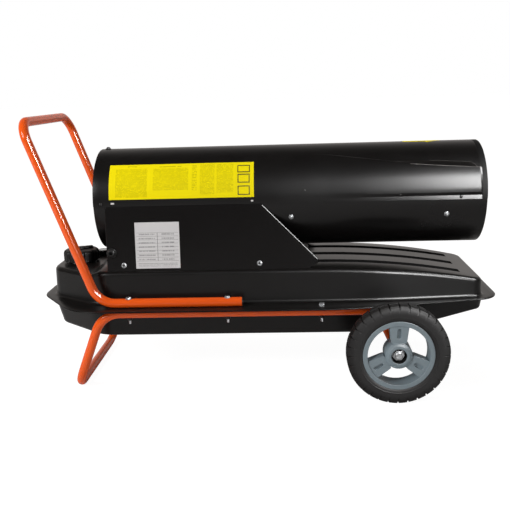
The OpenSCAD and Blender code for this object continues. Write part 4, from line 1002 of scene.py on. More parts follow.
def lower_tube():
    """The lower frame tube: foot bar, legs along the tank and the drops to the axle."""
    knee_x, foot_x = -329.0, -391.0
    drop_angle = 65
    steep = math.radians(drop_angle)
    drop_x = AXLE_X - (LOWER_TUBE_Z - WHEEL_R) / math.tan(steep)
    lean = math.atan2(knee_x - foot_x, LOWER_TUBE_Z - TUBE_R)
    leg = math.hypot(knee_x - foot_x, LOWER_TUBE_Z - TUBE_R)
    foot_bend, knee_bend, drop_bend, turned = 40.0, 56.0, 38.0, math.pi / 2 - lean
    knee, drop = knee_bend * math.tan(turned / 2), drop_bend * math.tan(steep / 2)
    down = Vector((-math.sin(lean), 0, -math.cos(lean)))
    foot = Vector((foot_x, 0, TUBE_R))
    corner = foot + Vector((0, -(TUBE_Y - foot_bend), 0)) - down * foot_bend
    plane = Vector((0, -1, 0)).cross(-down)
    knee_centre = Vector((knee_x + knee, -TUBE_Y, LOWER_TUBE_Z - knee_bend))
    drop_centre = Vector((drop_x - drop, -TUBE_Y, LOWER_TUBE_Z - drop_bend))
    last = math.hypot(AXLE_X - drop_x, LOWER_TUBE_Z - WHEEL_R) - drop + DROP_PAST_AXLE
    bm = bmesh.new()
    stretches = [("run", TUBE_Y - foot_bend), ("bend", corner, plane, 90, 14), ("run", leg - foot_bend - knee),
                 ("bend", knee_centre, (0, 1, 0), math.degrees(turned), 14),
                 ("run", drop_x - drop - knee_x - knee), ("bend", drop_centre, (0, 1, 0), drop_angle, 12),
                 ("run", last)]
    tube_along(bm, foot, (0, -1, 0), stretches, TUBE_R, 32, 4)
    mirror_y(bm)
    piece = settle("lower_tube_bent", bm, FRAME_PAINT, replaces=("lower_frame_tube",),
                   sharp=60)
    solidify(piece, TUBE_WALL)


handle_tube()
lower_tube()


# ---------------------------------------------------------------- fixings

def hex_head(across, height, chamfer=0.8):
    """A hexagon head that stands on z = 0, with its corners turned off on top."""
    bm = bmesh.new()
    bmesh.ops.create_cone(bm, cap_ends=True, segments=6, radius1=across / 2 / math.cos(math.pi / 6),
                          radius2=across / 2 / math.cos(math.pi / 6), depth=height)
    bmesh.ops.translate(bm, vec=(0, 0, height / 2), verts=bm.verts)
    top = [e for e in bm.edges if all(v.co.z > height - 0.01 for v in e.verts)]
    bmesh.ops.bevel(bm, geom=top, offset=chamfer, offset_type="OFFSET", segments=2, profile=0.6, affect="EDGES",
                    clamp_overlap=True, material=-1)
    return bm


def flat_washer(outer, inner, thick):
    """A washer on z = 0."""
    bm = new_lathe([(0, inner), (0, outer - 0.2), (0.2, outer), (thick - 0.2, outer), (thick, outer - 0.2),
                    (thick, inner)], 40, True)
    return move(bm, turn(-90, "Y"))


def pan_head(radius, height, cross=True):
    """A domed screw head on z = 0, with a cross recess."""
    profile = [(0, 0), (0, radius), (height * 0.35, radius), (height * 0.75, radius * 0.82),
               (height, radius * 0.45), (height * 1.02, 0)]
    bm = move(new_lathe(profile, 32), turn(-90, "Y"))
    if cross:
        for spin in (0, 90):
            half, wide = radius * 0.55, radius * 0.11
            slot = block((-half, -wide, height * 0.55), (half, wide, height * 1.03), 0.05, 1)
            add_to(bm, slot, turn(spin, "Z"))
    return bm


def shank(radius, length, pitch=1.0):
    """A threaded shank that hangs down from z = 0."""
    profile, along = [(0, 0), (0, radius)], 0.0
    while along < length - pitch:
        profile += [(-(along + pitch * 0.5), radius * 0.86), (-(along + pitch), radius)]
        along += pitch
    profile += [(-length, radius * 0.7), (-length, 0)]
    return move(new_lathe(profile, 20), turn(-90, "Y"))


def fixing(parts):
    """One bmesh made of (bmesh, matrix) parts."""
    bm = bmesh.new()
    for part, matrix in parts:
        add_to(bm, part, matrix)
    return bm


def panel_frame(side):
    """The side panel's own frame: X along, Z up to its top edge, -Y outwards; side is -1 for the right."""
    flip = Matrix.Scale(-1, 4, (0, 1, 0)) if side > 0 else Matrix.Identity(4)
    return flip @ shift(0, -PANEL_TOP[0], PANEL_TOP[1]) @ Matrix.Rotation(-PANEL_LEAN, 4, "X")


def frame_fixings():
    """Bolts and nuts that hold both tubes to the tank flange."""
    parts, nuts = [], []
    for side in (-1, 1):
        for i, x in enumerate(BOLT_XS):
            head_z = UPPER_TUBE_Z + TUBE_R - BOLT_FLAT if i < 2 else SEAM_Z + SHEET
            parts += [(hex_head(10, 3.4), shift(x, side * TUBE_Y, head_z + 0.6)),
                      (flat_washer(6.2, 3.1, 0.6), shift(x, side * TUBE_Y, head_z)),
                      (shank(3, head_z - LOWER_TUBE_Z + TUBE_R + 12.5), shift(x, side * TUBE_Y, head_z))]
            nut_z = LOWER_TUBE_Z - TUBE_R + BOLT_FLAT
            nuts += [(hex_head(10, 4.4), shift(x, side * TUBE_Y, nut_z - 0.6) @ turn(180, "X")),
                     (flat_washer(6.2, 3.1, 0.6), shift(x, side * TUBE_Y, nut_z - 0.6))]
    settle("frame_bolts_made", fixing(parts), ZINC, replaces=("frame_bolts",), sharp=30)
    settle("frame_nuts_made", fixing(nuts), SATIN_BLACK, replaces=("frame_nuts",), sharp=30)


def shell_fixings():
    """Screws along the barrel seam and into the straps."""
    parts, dark = [], []
    for side in (-1, 1):
        for x in (-326, 400):
            dark.append((pan_head(3.2, 2.2), barrel_point(x, 2, 0.1, side)))
        for x in (62, 374):
            parts += [(pan_head(4.3, 3.0), barrel_point(x, -17, -1.0, side)),
                      (flat_washer(5.2, 2, 0.7), barrel_point(x, -17, -1.4, side))]
        parts.append((pan_head(3.2, 2.2), barrel_point(-216, -50, -1.4, side)))
        for x, height in ((90, 12.6), (280, 5.6)):
            dark.append((pan_head(1.6, 0.9, False), barrel_point(x, height, 0.0 if x == 90 else 3.2, side)))
        slot = block((-4.4, -1.3, -0.2), (4.4, 1.3, 0.6), 0.5, 2)
        dark.append((slot, barrel_point(391, 4.6, 0.6, side)))
    dark.append((pan_head(4.6, 4.2), barrel_point(-328, 90, 0.0)))
    dark.append((flat_washer(6.4, 2, 0.8), barrel_point(-328, 90, 0.0)))
    settle("shell_screws_made", fixing(parts), ZINC, replaces=("shell_screws",), sharp=30)
    settle("shell_plugs", fixing(dark), SATIN_BLACK, sharp=30)


def panel_fixings():
    """Screws at the foot of the pedestal."""
    parts, dark = [], []
    profile = [(0, 0), (0, 5.4), (0.9, 5.5), (1.3, 5.2), (1.5, 4.4), (3.4, 4.1), (4.0, 3.5), (4.1, 2.6),
               (3.6, 2.1), (1.4, 2.0), (1.4, 0)]
    for side in (-1, 1):
        base = panel_frame(side)
        for x in (-283, -4):
            at = base @ shift(x, -0.2, -PANEL_H + 14) @ turn(90, "X")
            parts.append((move(new_lathe(profile, 36), turn(-90, "Y")), at))
            dark.append((move(new_lathe([(1.5, 0), (1.5, 1.95), (1.6, 1.9), (1.6, 0)], 24), turn(-90, "Y")),
                         at))
    settle("panel_screws_made", fixing(parts), ZINC, replaces=("panel_screws",), sharp=30)
    settle("panel_screw_sockets", fixing(dark), SATIN_BLACK)


frame_fixings()
shell_fixings()
panel_fixings()


# ---------------------------------------------------------------- pedestal

def panel_outline():
    """Corner points of a side panel, going round it, with rounded corners."""
    tip_x, front_x, back_x = 116, 2, -318.5
    corners = [(back_x, 0), (front_x, 0), (tip_x, -PANEL_H + 20), (tip_x - 1, -PANEL_H + 12),
               (tip_x - 22, -PANEL_H), (back_x, -PANEL_H)]
    radii = [4, 8, 3, 5, 10, 4]
    result = []
    for i, corner in enumerate(corners):
        result += corner_points(corners[i - 1], corner, corners[(i + 1) % len(corners)], radii[i], 5)
    return result


# How far the panel's skin is set back at a distance from its edge. FLAT_BAND is the strip along its top and
# bottom edges, where less of it is allowed.
FLAT_BAND, PANEL_WALL = 3.0, 1.0
FOLD = [(0.0, 1.8), (0.2, 1.05), (0.6, 0.5), (1.1, 0.16), (1.8, 0.0)]


def edge_distance(place, points):
    """How far a place on the panel is from its outline."""
    place, result = Vector(place), 1e9
    for k, point in enumerate(points):
        start, stretch = points[k - 1], point - points[k - 1]
        along = max(0.0, min(1.0, (place - start).dot(stretch) / max(stretch.length_squared, 1e-9)))
        result = min(result, (place - start - stretch * along).length)
    return result


def side_panel(side, name, node_name):
    """A side panel of the pedestal, folded round its edge."""
    points = panel_outline()
    bm = bmesh.new()
    edges = outline_edges(bm, [(p.x, 0, p.y) for p in points], True)[1]
    bmesh.ops.contextual_create(bm, geom=edges)
    centre = bm.faces[:][0]
    for thickness in (0.2, 0.4, 0.5, 0.7, 0.6):
        bmesh.ops.inset_region(bm, faces=[centre], thickness=thickness, depth=0, use_boundary=True,
                               use_even_offset=True)
    for v in bm.verts:
        set_back = lerp_table(FOLD, edge_distance((v.co.x, v.co.z), points))
        straight = v.co.z > -FLAT_BAND or v.co.z < -PANEL_H + FLAT_BAND
        v.co.y = min(set_back, 0.3) if straight else set_back
    rim = [e for e in bm.edges if e.is_boundary]
    for depth in (0.5, 8.0):
        ring, rim = extrude_rim(bm, rim)
        for v in ring:
            v.co.y += min(depth, 0.35) if v.co.z > -FLAT_BAND else depth
    move(bm, panel_frame(side))
    piece = settle(name, bm, PANEL_PAINT, replaces=(node_name,), sharp=30)
    face_towards(piece, (0, side, 0))
    solidify(piece, PANEL_WALL)
    return piece


side_panel(-1, "right_panel_folded", "right_side_panel")
side_panel(1, "left_panel_folded", "left_side_panel")
dress_node("rear_plate", BODY_PAINT, bevel=0.3)
dress_node("front_plate", PLATE_BLACK, bevel=0.3)


SHEET_FILM = 0.2


def sheet_uv(bm, spot):
    """Writes the sheet UV map from a function of a vertex's place."""
    layer = bm.loops.layers.uv.new("sheet")
    for face in bm.faces:
        for loop in face.loops:
            loop[layer].uv = spot(loop.vert.co)


def instruction_sheet():
    """The yellow sheet on the barrel, without words, and its three empty frames."""
    x0, x1, low, high, radius = -308.0, -12.0, 6.8, 47.5, BARREL_R + 0.28
    bm = bmesh.new()
    count = 24
    verts, edges = outline_edges(bm, [(x0 + (x1 - x0) * k / count, -radius, 0) for k in range(count + 1)])
    bmesh.ops.rotate(bm, verts=verts, cent=(0, 0, 0), matrix=Matrix.Rotation(math.radians(-low), 3, "X"))
    bmesh.ops.spin(bm, geom=verts + edges, cent=(0, 0, 0), axis=(-1, 0, 0), dvec=(0, 0, 0),
                   angle=math.radians(high - low), steps=20, use_duplicate=False)

    def spot(co):
        """Where a vertex lies on the sheet."""
        return ((co.x - x0) / (x1 - x0), (math.degrees(math.atan2(co.z, -co.y)) - low) / (high - low))

    sheet_uv(bm, spot)
    bmesh.ops.translate(bm, vec=(0, 0, BARREL_Z), verts=bm.verts)
    piece = settle("instruction_sheet", bm, YELLOW_SHEET, replaces=("instruction_label",))
    face_towards(piece, (0, -1, 0))
    solidify(piece, SHEET_FILM)

    marks = []
    for height, w, h in ((38.8, 12.5, 8.4), (27.4, 12.0, 9.2), (14.2, 12.0, 9.2)):
        at, bar = barrel_point(-32.6, height, 0.5), 1.5
        for low, high in (((-w, -h), (w, bar - h)), ((-w, h - bar), (w, h)),
                          ((-w, bar - h), (bar - w, h - bar)), ((w - bar, bar - h), (w, h - bar))):
            marks.append((block((low[0], low[1], -0.2), (high[0], high[1], 0.1), 0), at))
    settle("sheet_blank_frames", fixing(marks), MOULDED_BLACK)


def rating_sheet():
    """The pale plate on the right panel, without words."""
    x0, x1, low, high = -258.0, -166.5, -128.0, -33.0
    bm = bmesh.new()
    bmesh.ops.create_grid(bm, x_segments=6, y_segments=6, size=0.5,
                          matrix=shift((x0 + x1) / 2, -0.3, (low + high) / 2) @ turn(90, "X") @
                          Matrix.Diagonal((x1 - x0, high - low, 1, 1)))
    sheet_uv(bm, lambda co: ((co.x - x0) / (x1 - x0), (co.z - low) / (high - low)))
    move(bm, panel_frame(-1))
    piece = settle("rating_sheet", bm, SILVER_SHEET, replaces=("rating_plate",))
    face_towards(piece, (0, -1, 0))
    solidify(piece, SHEET_FILM)
    rules = []
    width, height = x1 - x0, high - low
    levels = [0.774 - 0.0763 * k for k in range(9)]
    for level in levels:
        z = low + level * height
        rules.append(block((x0 + 0.03 * width, -0.42, z - 0.16), (x1 - 0.03 * width, -0.34, z + 0.16), 0))
    z_top, z_low = low + levels[0] * height, low + levels[-1] * height
    rules.append(block((x0 + 0.5 * width, -0.42, z_low), (x0 + 0.507 * width, -0.34, z_top), 0))
    settle("rating_sheet_rules", fixing([(rule, panel_frame(-1)) for rule in rules]), MOULDED_BLACK)


def arrow_sheet():
    """The yellow arrow on top of the barrel."""
    bm = bmesh.new()
    outline = [(299, -10), (345, -10), (345, -18), (379, 0), (345, 18), (345, 10), (299, 10)]
    verts = [bm.verts.new((x, y, 0)) for x, y in outline]
    bm.faces.new(verts)
    for y in (-14, -10, -6, -3, 0, 3, 6, 10, 14):
        bmesh.ops.bisect_plane(bm, geom=bm.verts[:] + bm.edges[:] + bm.faces[:], plane_co=(0, y, 0),
                               plane_no=(0, 1, 0))
    for v in bm.verts:
        a = v.co.y / BARREL_R
        radius = BARREL_R + 0.3
        v.co.y, v.co.z = radius * math.sin(a), BARREL_Z + radius * math.cos(a)
    piece = settle("arrow_sheet", bm, YELLOW_PLAIN, replaces=("arrow_label",))
    face_towards(piece, (0, 0, 1))
    solidify(piece, SHEET_FILM)


def seam_tabs():
    """Pale tabs that hold the shells' seam beside the instruction sheet."""
    parts = []
    for x, half in ((-301, 3.6), (-16, 2.4)):
        parts.append((block((-half, -1.7, -0.1), (half, 1.7, 0.7), 0.35, 2), barrel_point(x, 2.8, 0.05)))
    settle("seam_tabs", fixing(parts), PLATE_WHITE)


instruction_sheet()
rating_sheet()
arrow_sheet()
seam_tabs()


# ---------------------------------------------------------------- wheels

def wheel_matrix(side):
    """Takes the lathe's X axis to the axle, outwards, on one side."""
    return shift(AXLE_X, side * WHEEL_Y, WHEEL_R) @ turn(90 * side, "Z")


def tyre_mesh():
    """A solid tyre with tread blocks cut across it."""
    pitch_steps, blocks, tread_depth, shoulder = 6, 32, 3.0, 86
    right = [(0, 97.4), (1.4, 97.4), (1.8, 99.8), (13.0, 99.6), (15.2, 99.0), (18.6, 95.8), (20.2, 91.8),
             (20.8, 88.0), (21.0, 84.0), (20.6, 80.0), (20.6, 76.5), (20.0, 75.4), (20.0, 73.6), (18.6, 69.8),
             (17.0, 68.0), (15.0, 67.7), (12.0, 66.5)]
    profile = [(-a, r) for a, r in reversed(right[1:])] + right
    steps = blocks * pitch_steps
    bm = new_lathe(profile, steps)
    offsets = [-0.85, -0.55, 0.55, 0.85, 3.9, 7.4]
    for v in bm.verts:
        radius = math.hypot(v.co.y, v.co.z)
        index = round(math.atan2(v.co.z, v.co.y) / (2 * math.pi) * steps)
        part = index % pitch_steps
        angle = (index - part) / steps * 2 * math.pi + math.radians(offsets[part])
        if part in (1, 2) and abs(v.co.x) > 1.5:
            radius -= tread_depth * smoothstep((radius - shoulder) / 4)
        v.co.y, v.co.z = radius * math.cos(angle), radius * math.sin(angle)
    ends = [e for e in bm.edges if e.is_boundary]
    bmesh.ops.bridge_loops(bm, edges=ends)
    return bm


def spoke_mesh():
    """A wide spoke along +Z in the lathe's frame, with a rounded pocket in its outer face."""
    bm = bmesh.new()
    inner, outer = 24.0, 62.0
    half_in, half_out = 14.2, 19.0
    slot_low, slot_high, slot_r = 38.0, 50.5, 4.2
    count = 24
    loop_out, loop_in = [], []
    for k in range(count):
        a = 2 * math.pi * k / count
        dy, dz = math.cos(a), math.sin(a)
        centre_z = slot_high if dz > 1e-6 else slot_low
        loop_in.append((0, slot_r * dy, centre_z + slot_r * dz) if abs(dz) > 1e-6 else
                       (0, slot_r * dy, (slot_low + slot_high) / 2))
        z = 43 + 19 * max(-1, min(1, dz * 1.35))
        half = half_in + (half_out - half_in) * (z - inner) / (outer - inner)
        loop_out.append((0, half * max(-1, min(1, dy * 1.35)), z))
    outer_edges = outline_edges(bm, loop_out, True)[1]
    inner_edges = outline_edges(bm, loop_in, True)[1]
    bmesh.ops.bridge_loops(bm, edges=outer_edges + inner_edges)
    for vec, grow in (((-0.5, 0, 0), 0.94), ((-4.5, 0, 0), 0.97)):
        ring, inner_edges = extrude_rim(bm, inner_edges)
        middle = (slot_low + slot_high) / 2
        bmesh.ops.translate(bm, vec=vec, verts=ring)
        for v in ring:
            v.co.y *= grow
            v.co.z = middle + (v.co.z - middle) * grow
    bmesh.ops.holes_fill(bm, edges=inner_edges, sides=0)
    for vec, grow in (((-0.6, 0, 0), 0.5), ((-21, 0, 0), 0.0)):
        ring, outer_edges = extrude_rim(bm, outer_edges)
        bmesh.ops.translate(bm, vec=vec, verts=ring)
        for v in ring:
            v.co.y += math.copysign(grow, v.co.y)
    bmesh.ops.holes_fill(bm, edges=outer_edges, sides=0)
    bmesh.ops.recalc_face_normals(bm, faces=bm.faces)
    return bm


def rim_mesh():
    """A wheel rim with its spokes and hub."""
    ring = [(-19, 60.6), (-18.4, 60), (18.4, 60), (19, 60.6), (19, 68.2), (18.2, 69.2), (15.6, 69.2),
            (12, 65.5), (-12, 65.5), (-15.6, 69.2), (-18.2, 69.2), (-19, 68.2)]
    hub = [(-22, 7.05), (-22, 25), (-20, 26.6), (14.5, 26.6), (17.5, 26.2), (19.5, 24.6), (20.6, 21.5),
           (21.8, 20.2), (22, 19.2), (22, 15.8), (21.4, 15.0), (7.4, 14.7), (7, 14), (7, 7.05)]
    bm = new_lathe(ring, 96, True)
    add_to(bm, new_lathe(hub, 72, True))
    for spin in (0, 120, 240):
        spoke = spoke_mesh()
        add_to(bm, spoke, turn(spin, "X") @ shift(17.0, 0, 0))
    return bm


def wheels():
    """Both wheels with their tyres, and the axle with its spacers, washers and nuts."""
    for side, word in ((-1, "right"), (1, "left")):
        body = word + "_wheel"
        add = wheel_matrix(side)
        settle(word + "_rim_moulded", move(rim_mesh(), add), WHEEL_PLASTIC, body, (word + "_wheel_rim",),
               sharp=30)
        settle(word + "_tyre_moulded", move(tyre_mesh(), add), TYRE_RUBBER, body, (word + "_tyre",),
               sharp=28)
        cup = new_lathe([(7.2, 7.3), (7.2, 13.4), (7.9, 14.2), (20.2, 14.5), (20.9, 14.8)], 48)
        piece = settle(word + "_hub_cup", move(cup, add), MOULDED_BLACK, body)
        solidify(piece, 0.3, 0.0)
    parts_w, parts_n = [], []
    for side in (-1, 1):
        to_axis = wheel_matrix(side) @ turn(90, "Y")
        parts_w.append((flat_washer(12, 7.1, 1.3), to_axis @ shift(0, 0, 7.6)))
        parts_n.append((hex_head(19, 7.0, 1.2), to_axis @ shift(0, 0, 9.1)))
    settle("axle_washers_made", fixing(parts_w), ZINC, replaces=("axle_washers",),
           sharp=30)
    settle("axle_nuts_made", fixing(parts_n), ZINC, replaces=("axle_nuts",), sharp=30)
    axle = new_lathe([(-231.4, 0), (-232, 5.8), (-231, 7), (231, 7), (232, 5.8), (231.4, 0)], 40)
    settle("axle_turned", move(axle, shift(AXLE_X, 0, WHEEL_R) @ turn(90, "Z")), ZINC, replaces=("axle",),
           sharp=30)
    spacers = []
    for side in (-1, 1):
        sleeve = [(161.9, 7.1), (161.9, 10.6), (162.5, 11), (190, 11), (190.6, 10.6), (190.6, 7.1)]
        spacers.append((new_lathe(sleeve, 40, True), shift(AXLE_X, 0, WHEEL_R) @ turn(90 * side, "Z")))
    settle("axle_spacers_turned", fixing(spacers), MOULDED_BLACK, replaces=("axle_spacers",))


wheels()


# ---------------------------------------------------------------- tank fittings

def fuel_cap():
    """A deep cap with rounded finger flutes and a grip bar."""
    profile = [(247.7, 32.5), (247.5, 37), (248.3, 38.2), (251, 38.5), (263, 38.5), (267, 38.1), (269.8, 36.6),
               (271.4, 34), (272, 30), (272.2, 20), (272.3, 0)]
    bm = new_lathe(profile, 144)
    for v in bm.verts:
        radius = math.hypot(v.co.y, v.co.z)
        if radius < 1:
            continue
        angle = math.atan2(v.co.z, v.co.y)
        flute = smoothstep((math.cos(12 * angle) - 0.1) / 0.9)
        keep = smoothstep((radius - 31) / 5) * smoothstep((v.co.x - 248) / 2)
        scale = (radius - 2.6 * flute * keep) / radius
        v.co.y *= scale
        v.co.z *= scale
    move(bm, shift(CAP_X, 0, 0) @ turn(-90, "Y"))
    grip = block((-27, -6.5, 270.8), (27, 6.5, 277.0), 2.6, 4)
    add_to(bm, grip, shift(CAP_X, 0, 0) @ turn(28, "Z"))
    settle("fuel_cap_moulded", bm, MOULDED_BLACK, "cap", ("fuel_cap",), sharp=35)


def fuel_gauge():
    """The fuel gauge on the deck, with its pointer."""
    place = shift(-375, 62, DECK_Z + 0.3)
    base = place @ turn(-90, "Y")
    bezel = new_lathe([(0, 9), (0, 14.6), (0.6, 15), (8.6, 15), (10.6, 14.2), (11, 13.2), (10.2, 12.9),
                       (5.2, 12.9), (5, 1.6), (-28, 1.6), (-28, 9)], 64, True)
    settle("fuel_gauge_bezel", move(bezel, base), MOULDED_BLACK, replaces=("fuel_gauge",))
    face = new_lathe([(5.1, 1.7), (5.1, 12.7), (5.3, 12.7), (5.3, 1.7)], 48, True)
    settle("fuel_gauge_face", move(face, base), GAUGE_FACE)
    ticks = []
    for k in range(7):
        long = 2.6 if k in (0, 3, 6) else 1.6
        ticks.append((block((11.8 - long, -0.28, 5.32), (11.8, 0.28, 5.5), 0), place @ turn(15 * k, "Z")))
    settle("fuel_gauge_ticks", fixing(ticks), MOULDED_BLACK)
    lens = new_lathe([(9.0, 0), (9.0, 12.6), (9.6, 12.8), (10.2, 12.5), (10.9, 8), (11.2, 0)], 48)
    settle("fuel_gauge_window", move(lens, base), LENS)
    dress_node("gauge_pointer", RED_PLASTIC, "pointer", 0.15)


def cable_gland():
    """The gland through the right panel."""
    base = panel_frame(-1) @ shift(-308, 0, -95) @ turn(-90, "Z")
    body = new_lathe([(0.3, 3.5), (0.3, 10.0), (0.7, 10.3), (2.9, 10.3), (3.4, 9.8), (3.6, 8.9), (6.3, 8.3),
                      (7.9, 6.9), (8.3, 6.0), (8.3, 3.5), (-10, 3.5), (-10, 6), (0.1, 6)], 54, True)
    knurl(body, 3.5, 7, 7, 0.05, 18)
    settle("cable_gland_moulded", move(body, base), MOULDED_BLACK, replaces=("cable_gland",))


fuel_cap()
fuel_gauge()
cable_gland()
dress_node("filler_neck", ZINC, bevel=0.3)
dress_node("filler_strainer", STRAINER_WHITE, bevel=0.0)
dress_node("cap_gasket", HOSE_RUBBER, "cap_seal", 0.4)
dress_node("float_arm", FLOAT_CORK, "float", 0.2)
dress_node("drain_plug", ZINC, bevel=0.5)
dress_node("fuel_pickup", ZINC, bevel=0.4)
dress_node("tube_end_plugs", MOULDED_BLACK, bevel=0.4)


# ---------------------------------------------------------------- intake end and burner

def intake_guard():
    """The wire guard in the barrel's back end."""
    parts = bmesh.new()
    for radius in range(18, 103, 14):
        wire = bmesh.new()
        circle = bmesh.ops.create_circle(wire, segments=10, radius=1.5,
                                         matrix=shift(0, 0, radius) @ turn(90, "X"))["verts"]
        edges = wire.edges[:]
        bmesh.ops.spin(wire, geom=circle + edges, cent=(0, 0, 0), axis=(1, 0, 0), dvec=(0, 0, 0),
                       angle=2 * math.pi, steps=96, use_merge=True, use_duplicate=False)
        add_to(parts, wire)
    for k in range(8):
        spoke = bmesh.new()
        tube_along(spoke, (2.2, 0, 15.4), (0, 0, 1), [("run", 81.6), ("bend", (6.2, 0, 97.0), (0, 1, 0), 90, 6),
                                                      ("run", 5)], 1.7, 10, 30)
        add_to(parts, spoke, turn(22.5 + 45 * k, "X"))
    bmesh.ops.translate(parts, vec=(BACK_X + 2, 0, BARREL_Z), verts=parts.verts)
    settle("intake_guard_wires", parts, SATIN_BLACK, replaces=("intake_guard",), sharp=60)


def motor():
    """The fan motor, with its end caps and ribs."""
    base = shift(-272, 0, BARREL_Z)
    profile = [(0, 6.3), (0, 14), (1.2, 16), (2.2, 40), (3.4, 46.5), (5, 48.4), (7, 49), (14, 49), (14.6, 46.4)]
    along = 15.0
    while along < 96:
        profile += [(along, 46.4), (along + 0.5, 48.0), (along + 2.0, 48.0), (along + 2.5, 46.4)]
        along += 5.2
    profile += [(97.6, 46.4), (98, 49), (105, 49), (107.6, 48.2), (109.6, 44), (111, 20), (112, 16), (112, 6.3)]
    settle("motor_finned", move(new_lathe(profile, 96, True), base), MOTOR_PAINT, replaces=("motor",),
           sharp=30)
    can = new_lathe([(0, 0), (0, 13), (1, 14), (54, 14), (56, 13), (56.4, 9), (56.4, 0)], 40)
    move(can, base @ shift(30, 0, 62))
    settle("motor_capacitor", can, MOULDED_BLACK)


def fan():
    """The fan's pressed blades on their hub."""
    bm = new_lathe([(-128, 6.1), (-128, 21), (-127, 22), (-111, 22), (-110, 21), (-110, 6.1)], 64, True)
    root, tip, blades = 20, 95.5, 5
    for k in range(blades):
        blade = bmesh.new()
        bmesh.ops.create_grid(blade, x_segments=14, y_segments=12, size=1)
        for v in blade.verts:
            radius = root + (tip - root) * (v.co.x + 1) / 2
            chord = 34 * (0.75 + 0.25 * smoothstep((radius - root) / 40))
            chord -= 6 * smoothstep((radius - 80) / 18)
            pitch = math.radians(42 - 20 * (radius - root) / 76)
            s = v.co.y * chord
            around = s * math.cos(pitch) / radius
            camber = 3.5 * (1 - v.co.y ** 2)
            x = -119 + s * math.sin(pitch) * 0.9 + camber
            v.co = (x, radius * math.sin(around), radius * math.cos(around))
        bmesh.ops.solidify(blade, geom=blade.faces[:], thickness=1.6)
        add_to(bm, blade, turn(360 / blades * k, "X"))
    move(bm, shift(0, 0, BARREL_Z))
    settle("fan_pressed", bm, FAN_ALLOY, "fan_rotor", ("fan",), sharp=40)


def pressure_gauge():
    """The pump's pressure gauge, with dial and needle."""
    base = shift(-300, 0, BARREL_Z) @ turn(180, "Z")
    case = new_lathe([(0.4, 0), (0.4, 12), (12.7, 12), (13.2, 14), (20.6, 14), (22, 13.4), (22, 12.2),
                      (20.4, 12.0), (19.2, 11.9), (19.2, 0)], 56)
    settle("pressure_gauge_case", move(case, base), ZINC, replaces=("pressure_gauge",))
    face = new_lathe([(19.3, 0), (19.3, 11.8), (19.5, 11.8), (19.5, 0)], 48)
    settle("pressure_gauge_face", move(face, base), GAUGE_FACE)
    parts = []
    for k in range(11):
        long = 2.6 if k % 5 == 0 else 1.5
        tick = block((19.5, -0.22, 11.2 - long), (19.7, 0.22, 11.2), 0)
        parts.append((tick, base @ turn(-135 + 27 * k, "X")))
    parts.append((block((19.7, -0.35, -2.5), (20.0, 0.35, 8.8), 0), base @ turn(-62, "X")))
    settle("pressure_gauge_scale", fixing(parts), MOULDED_BLACK)
    lens = new_lathe([(20.4, 0), (20.4, 11.8), (21.4, 11.9), (21.8, 0)], 48)
    settle("pressure_gauge_window", move(lens, base), LENS)


intake_guard()
motor()
fan()
pressure_gauge()
dress_node("motor_bracket", ZINC, bevel=0.4)
dress_node("motor_shaft", STEEL_SHAFT, "fan_rotor", 0.5)
dress_node("pump_housing", CAST_ALLOY, bevel=1.0)
dress_node("pump_rotor", MOULDED_BLACK, "fan_rotor", 0.2)
dress_node("air_filter_cover", MOULDED_BLACK, bevel=0.6)


def chamber():
    """The inner tube, with pressed ribs round it and a rolled mouth."""
    profile = [(-62, 76), (-60, 76)]
    along = -40.0
    while along < 380:
        profile += [(along, 76), (along + 2, 77.2), (along + 5, 77.2), (along + 7, 76)]
        along += 60
    profile += [(400, 76), (405, 75.4), (407.6, 73), (408, 70), (408, 62.6), (407, 62)]
    piece = settle("chamber_tube", move(new_lathe(profile, 96), shift(0, 0, BARREL_Z)), HOT_STEEL,
                   replaces=("combustion_chamber",))
    solidify(piece, 1.2)
    straps = []
    for x in (62, 374):
        for angle in (-17, 17, 163, 197):
            outward = turn(angle - 90, "X")
            straps += [(block((x - 9, -6, 75.5), (x - 7.5, 6, 103.3), 0.4), outward),
                       (block((x - 8.8, -6, 102.1), (x + 6, 6, 103.6), 0.4), outward)]
    bars = [(part, shift(0, 0, BARREL_Z) @ matrix) for part, matrix in straps]
    settle("chamber_straps", fixing(bars), HOT_STEEL)


def outlet():
    """The outlet cone and the flame deflector."""
    cone = new_lathe([(402, 86), (403, 87.4), (431, 103.4), (445, 104.2), (446.6, 103.6), (446.8, 102.6),
                      (445.6, 102.2), (431.4, 101.6), (404.6, 85.6), (403, 84.8)], 96, True)
    settle("outlet_cone_spun", move(cone, shift(0, 0, BARREL_Z)), SOOTED_STEEL, replaces=("outlet_cone",))
    disc = new_lathe([(416, 0), (416, 8), (417.4, 12), (416.6, 24), (418, 30), (416.4, 40), (416.6, 44),
                      (415, 46), (414, 45.4), (415, 40), (416, 30), (414.8, 24), (415.4, 12), (414.6, 8),
                      (414.6, 0)], 72)
    for v in disc.verts:
        v.co.x += 1.2
    for angle in (30, 150, 270):
        add_to(disc, block((408.3, -5, 43.5), (416.2, 5, 45), 0.4), turn(180 - angle, "X"))
        add_to(disc, block((408.3, -5, 44), (409.5, 5, 68), 0.4), turn(180 - angle, "X"))
    settle("flame_deflector_pressed", move(disc, shift(0, 0, BARREL_Z)), SOOTED_STEEL,
           replaces=("flame_deflector",))


chamber()
outlet()
dress_node("burner_head", SOOTED_STEEL, bevel=0.6)
dress_node("nozzle", BRASS, bevel=0.5)
dress_node("igniter_electrodes", CERAMIC, bevel=0.3)
dress_node("photocell", MOULDED_BLACK, bevel=0.5)
dress_node("fuel_hose", HOSE_RUBBER, bevel=0.0)
dress_node("air_hose", HOSE_RUBBER, bevel=0.0)
dress_node("ignition_transformer", MOULDED_BLACK, bevel=1.2)
dress_node("control_board", BOARD_GREEN, bevel=0.2)


# ---------------------------------------------------------------- controls on the left panel

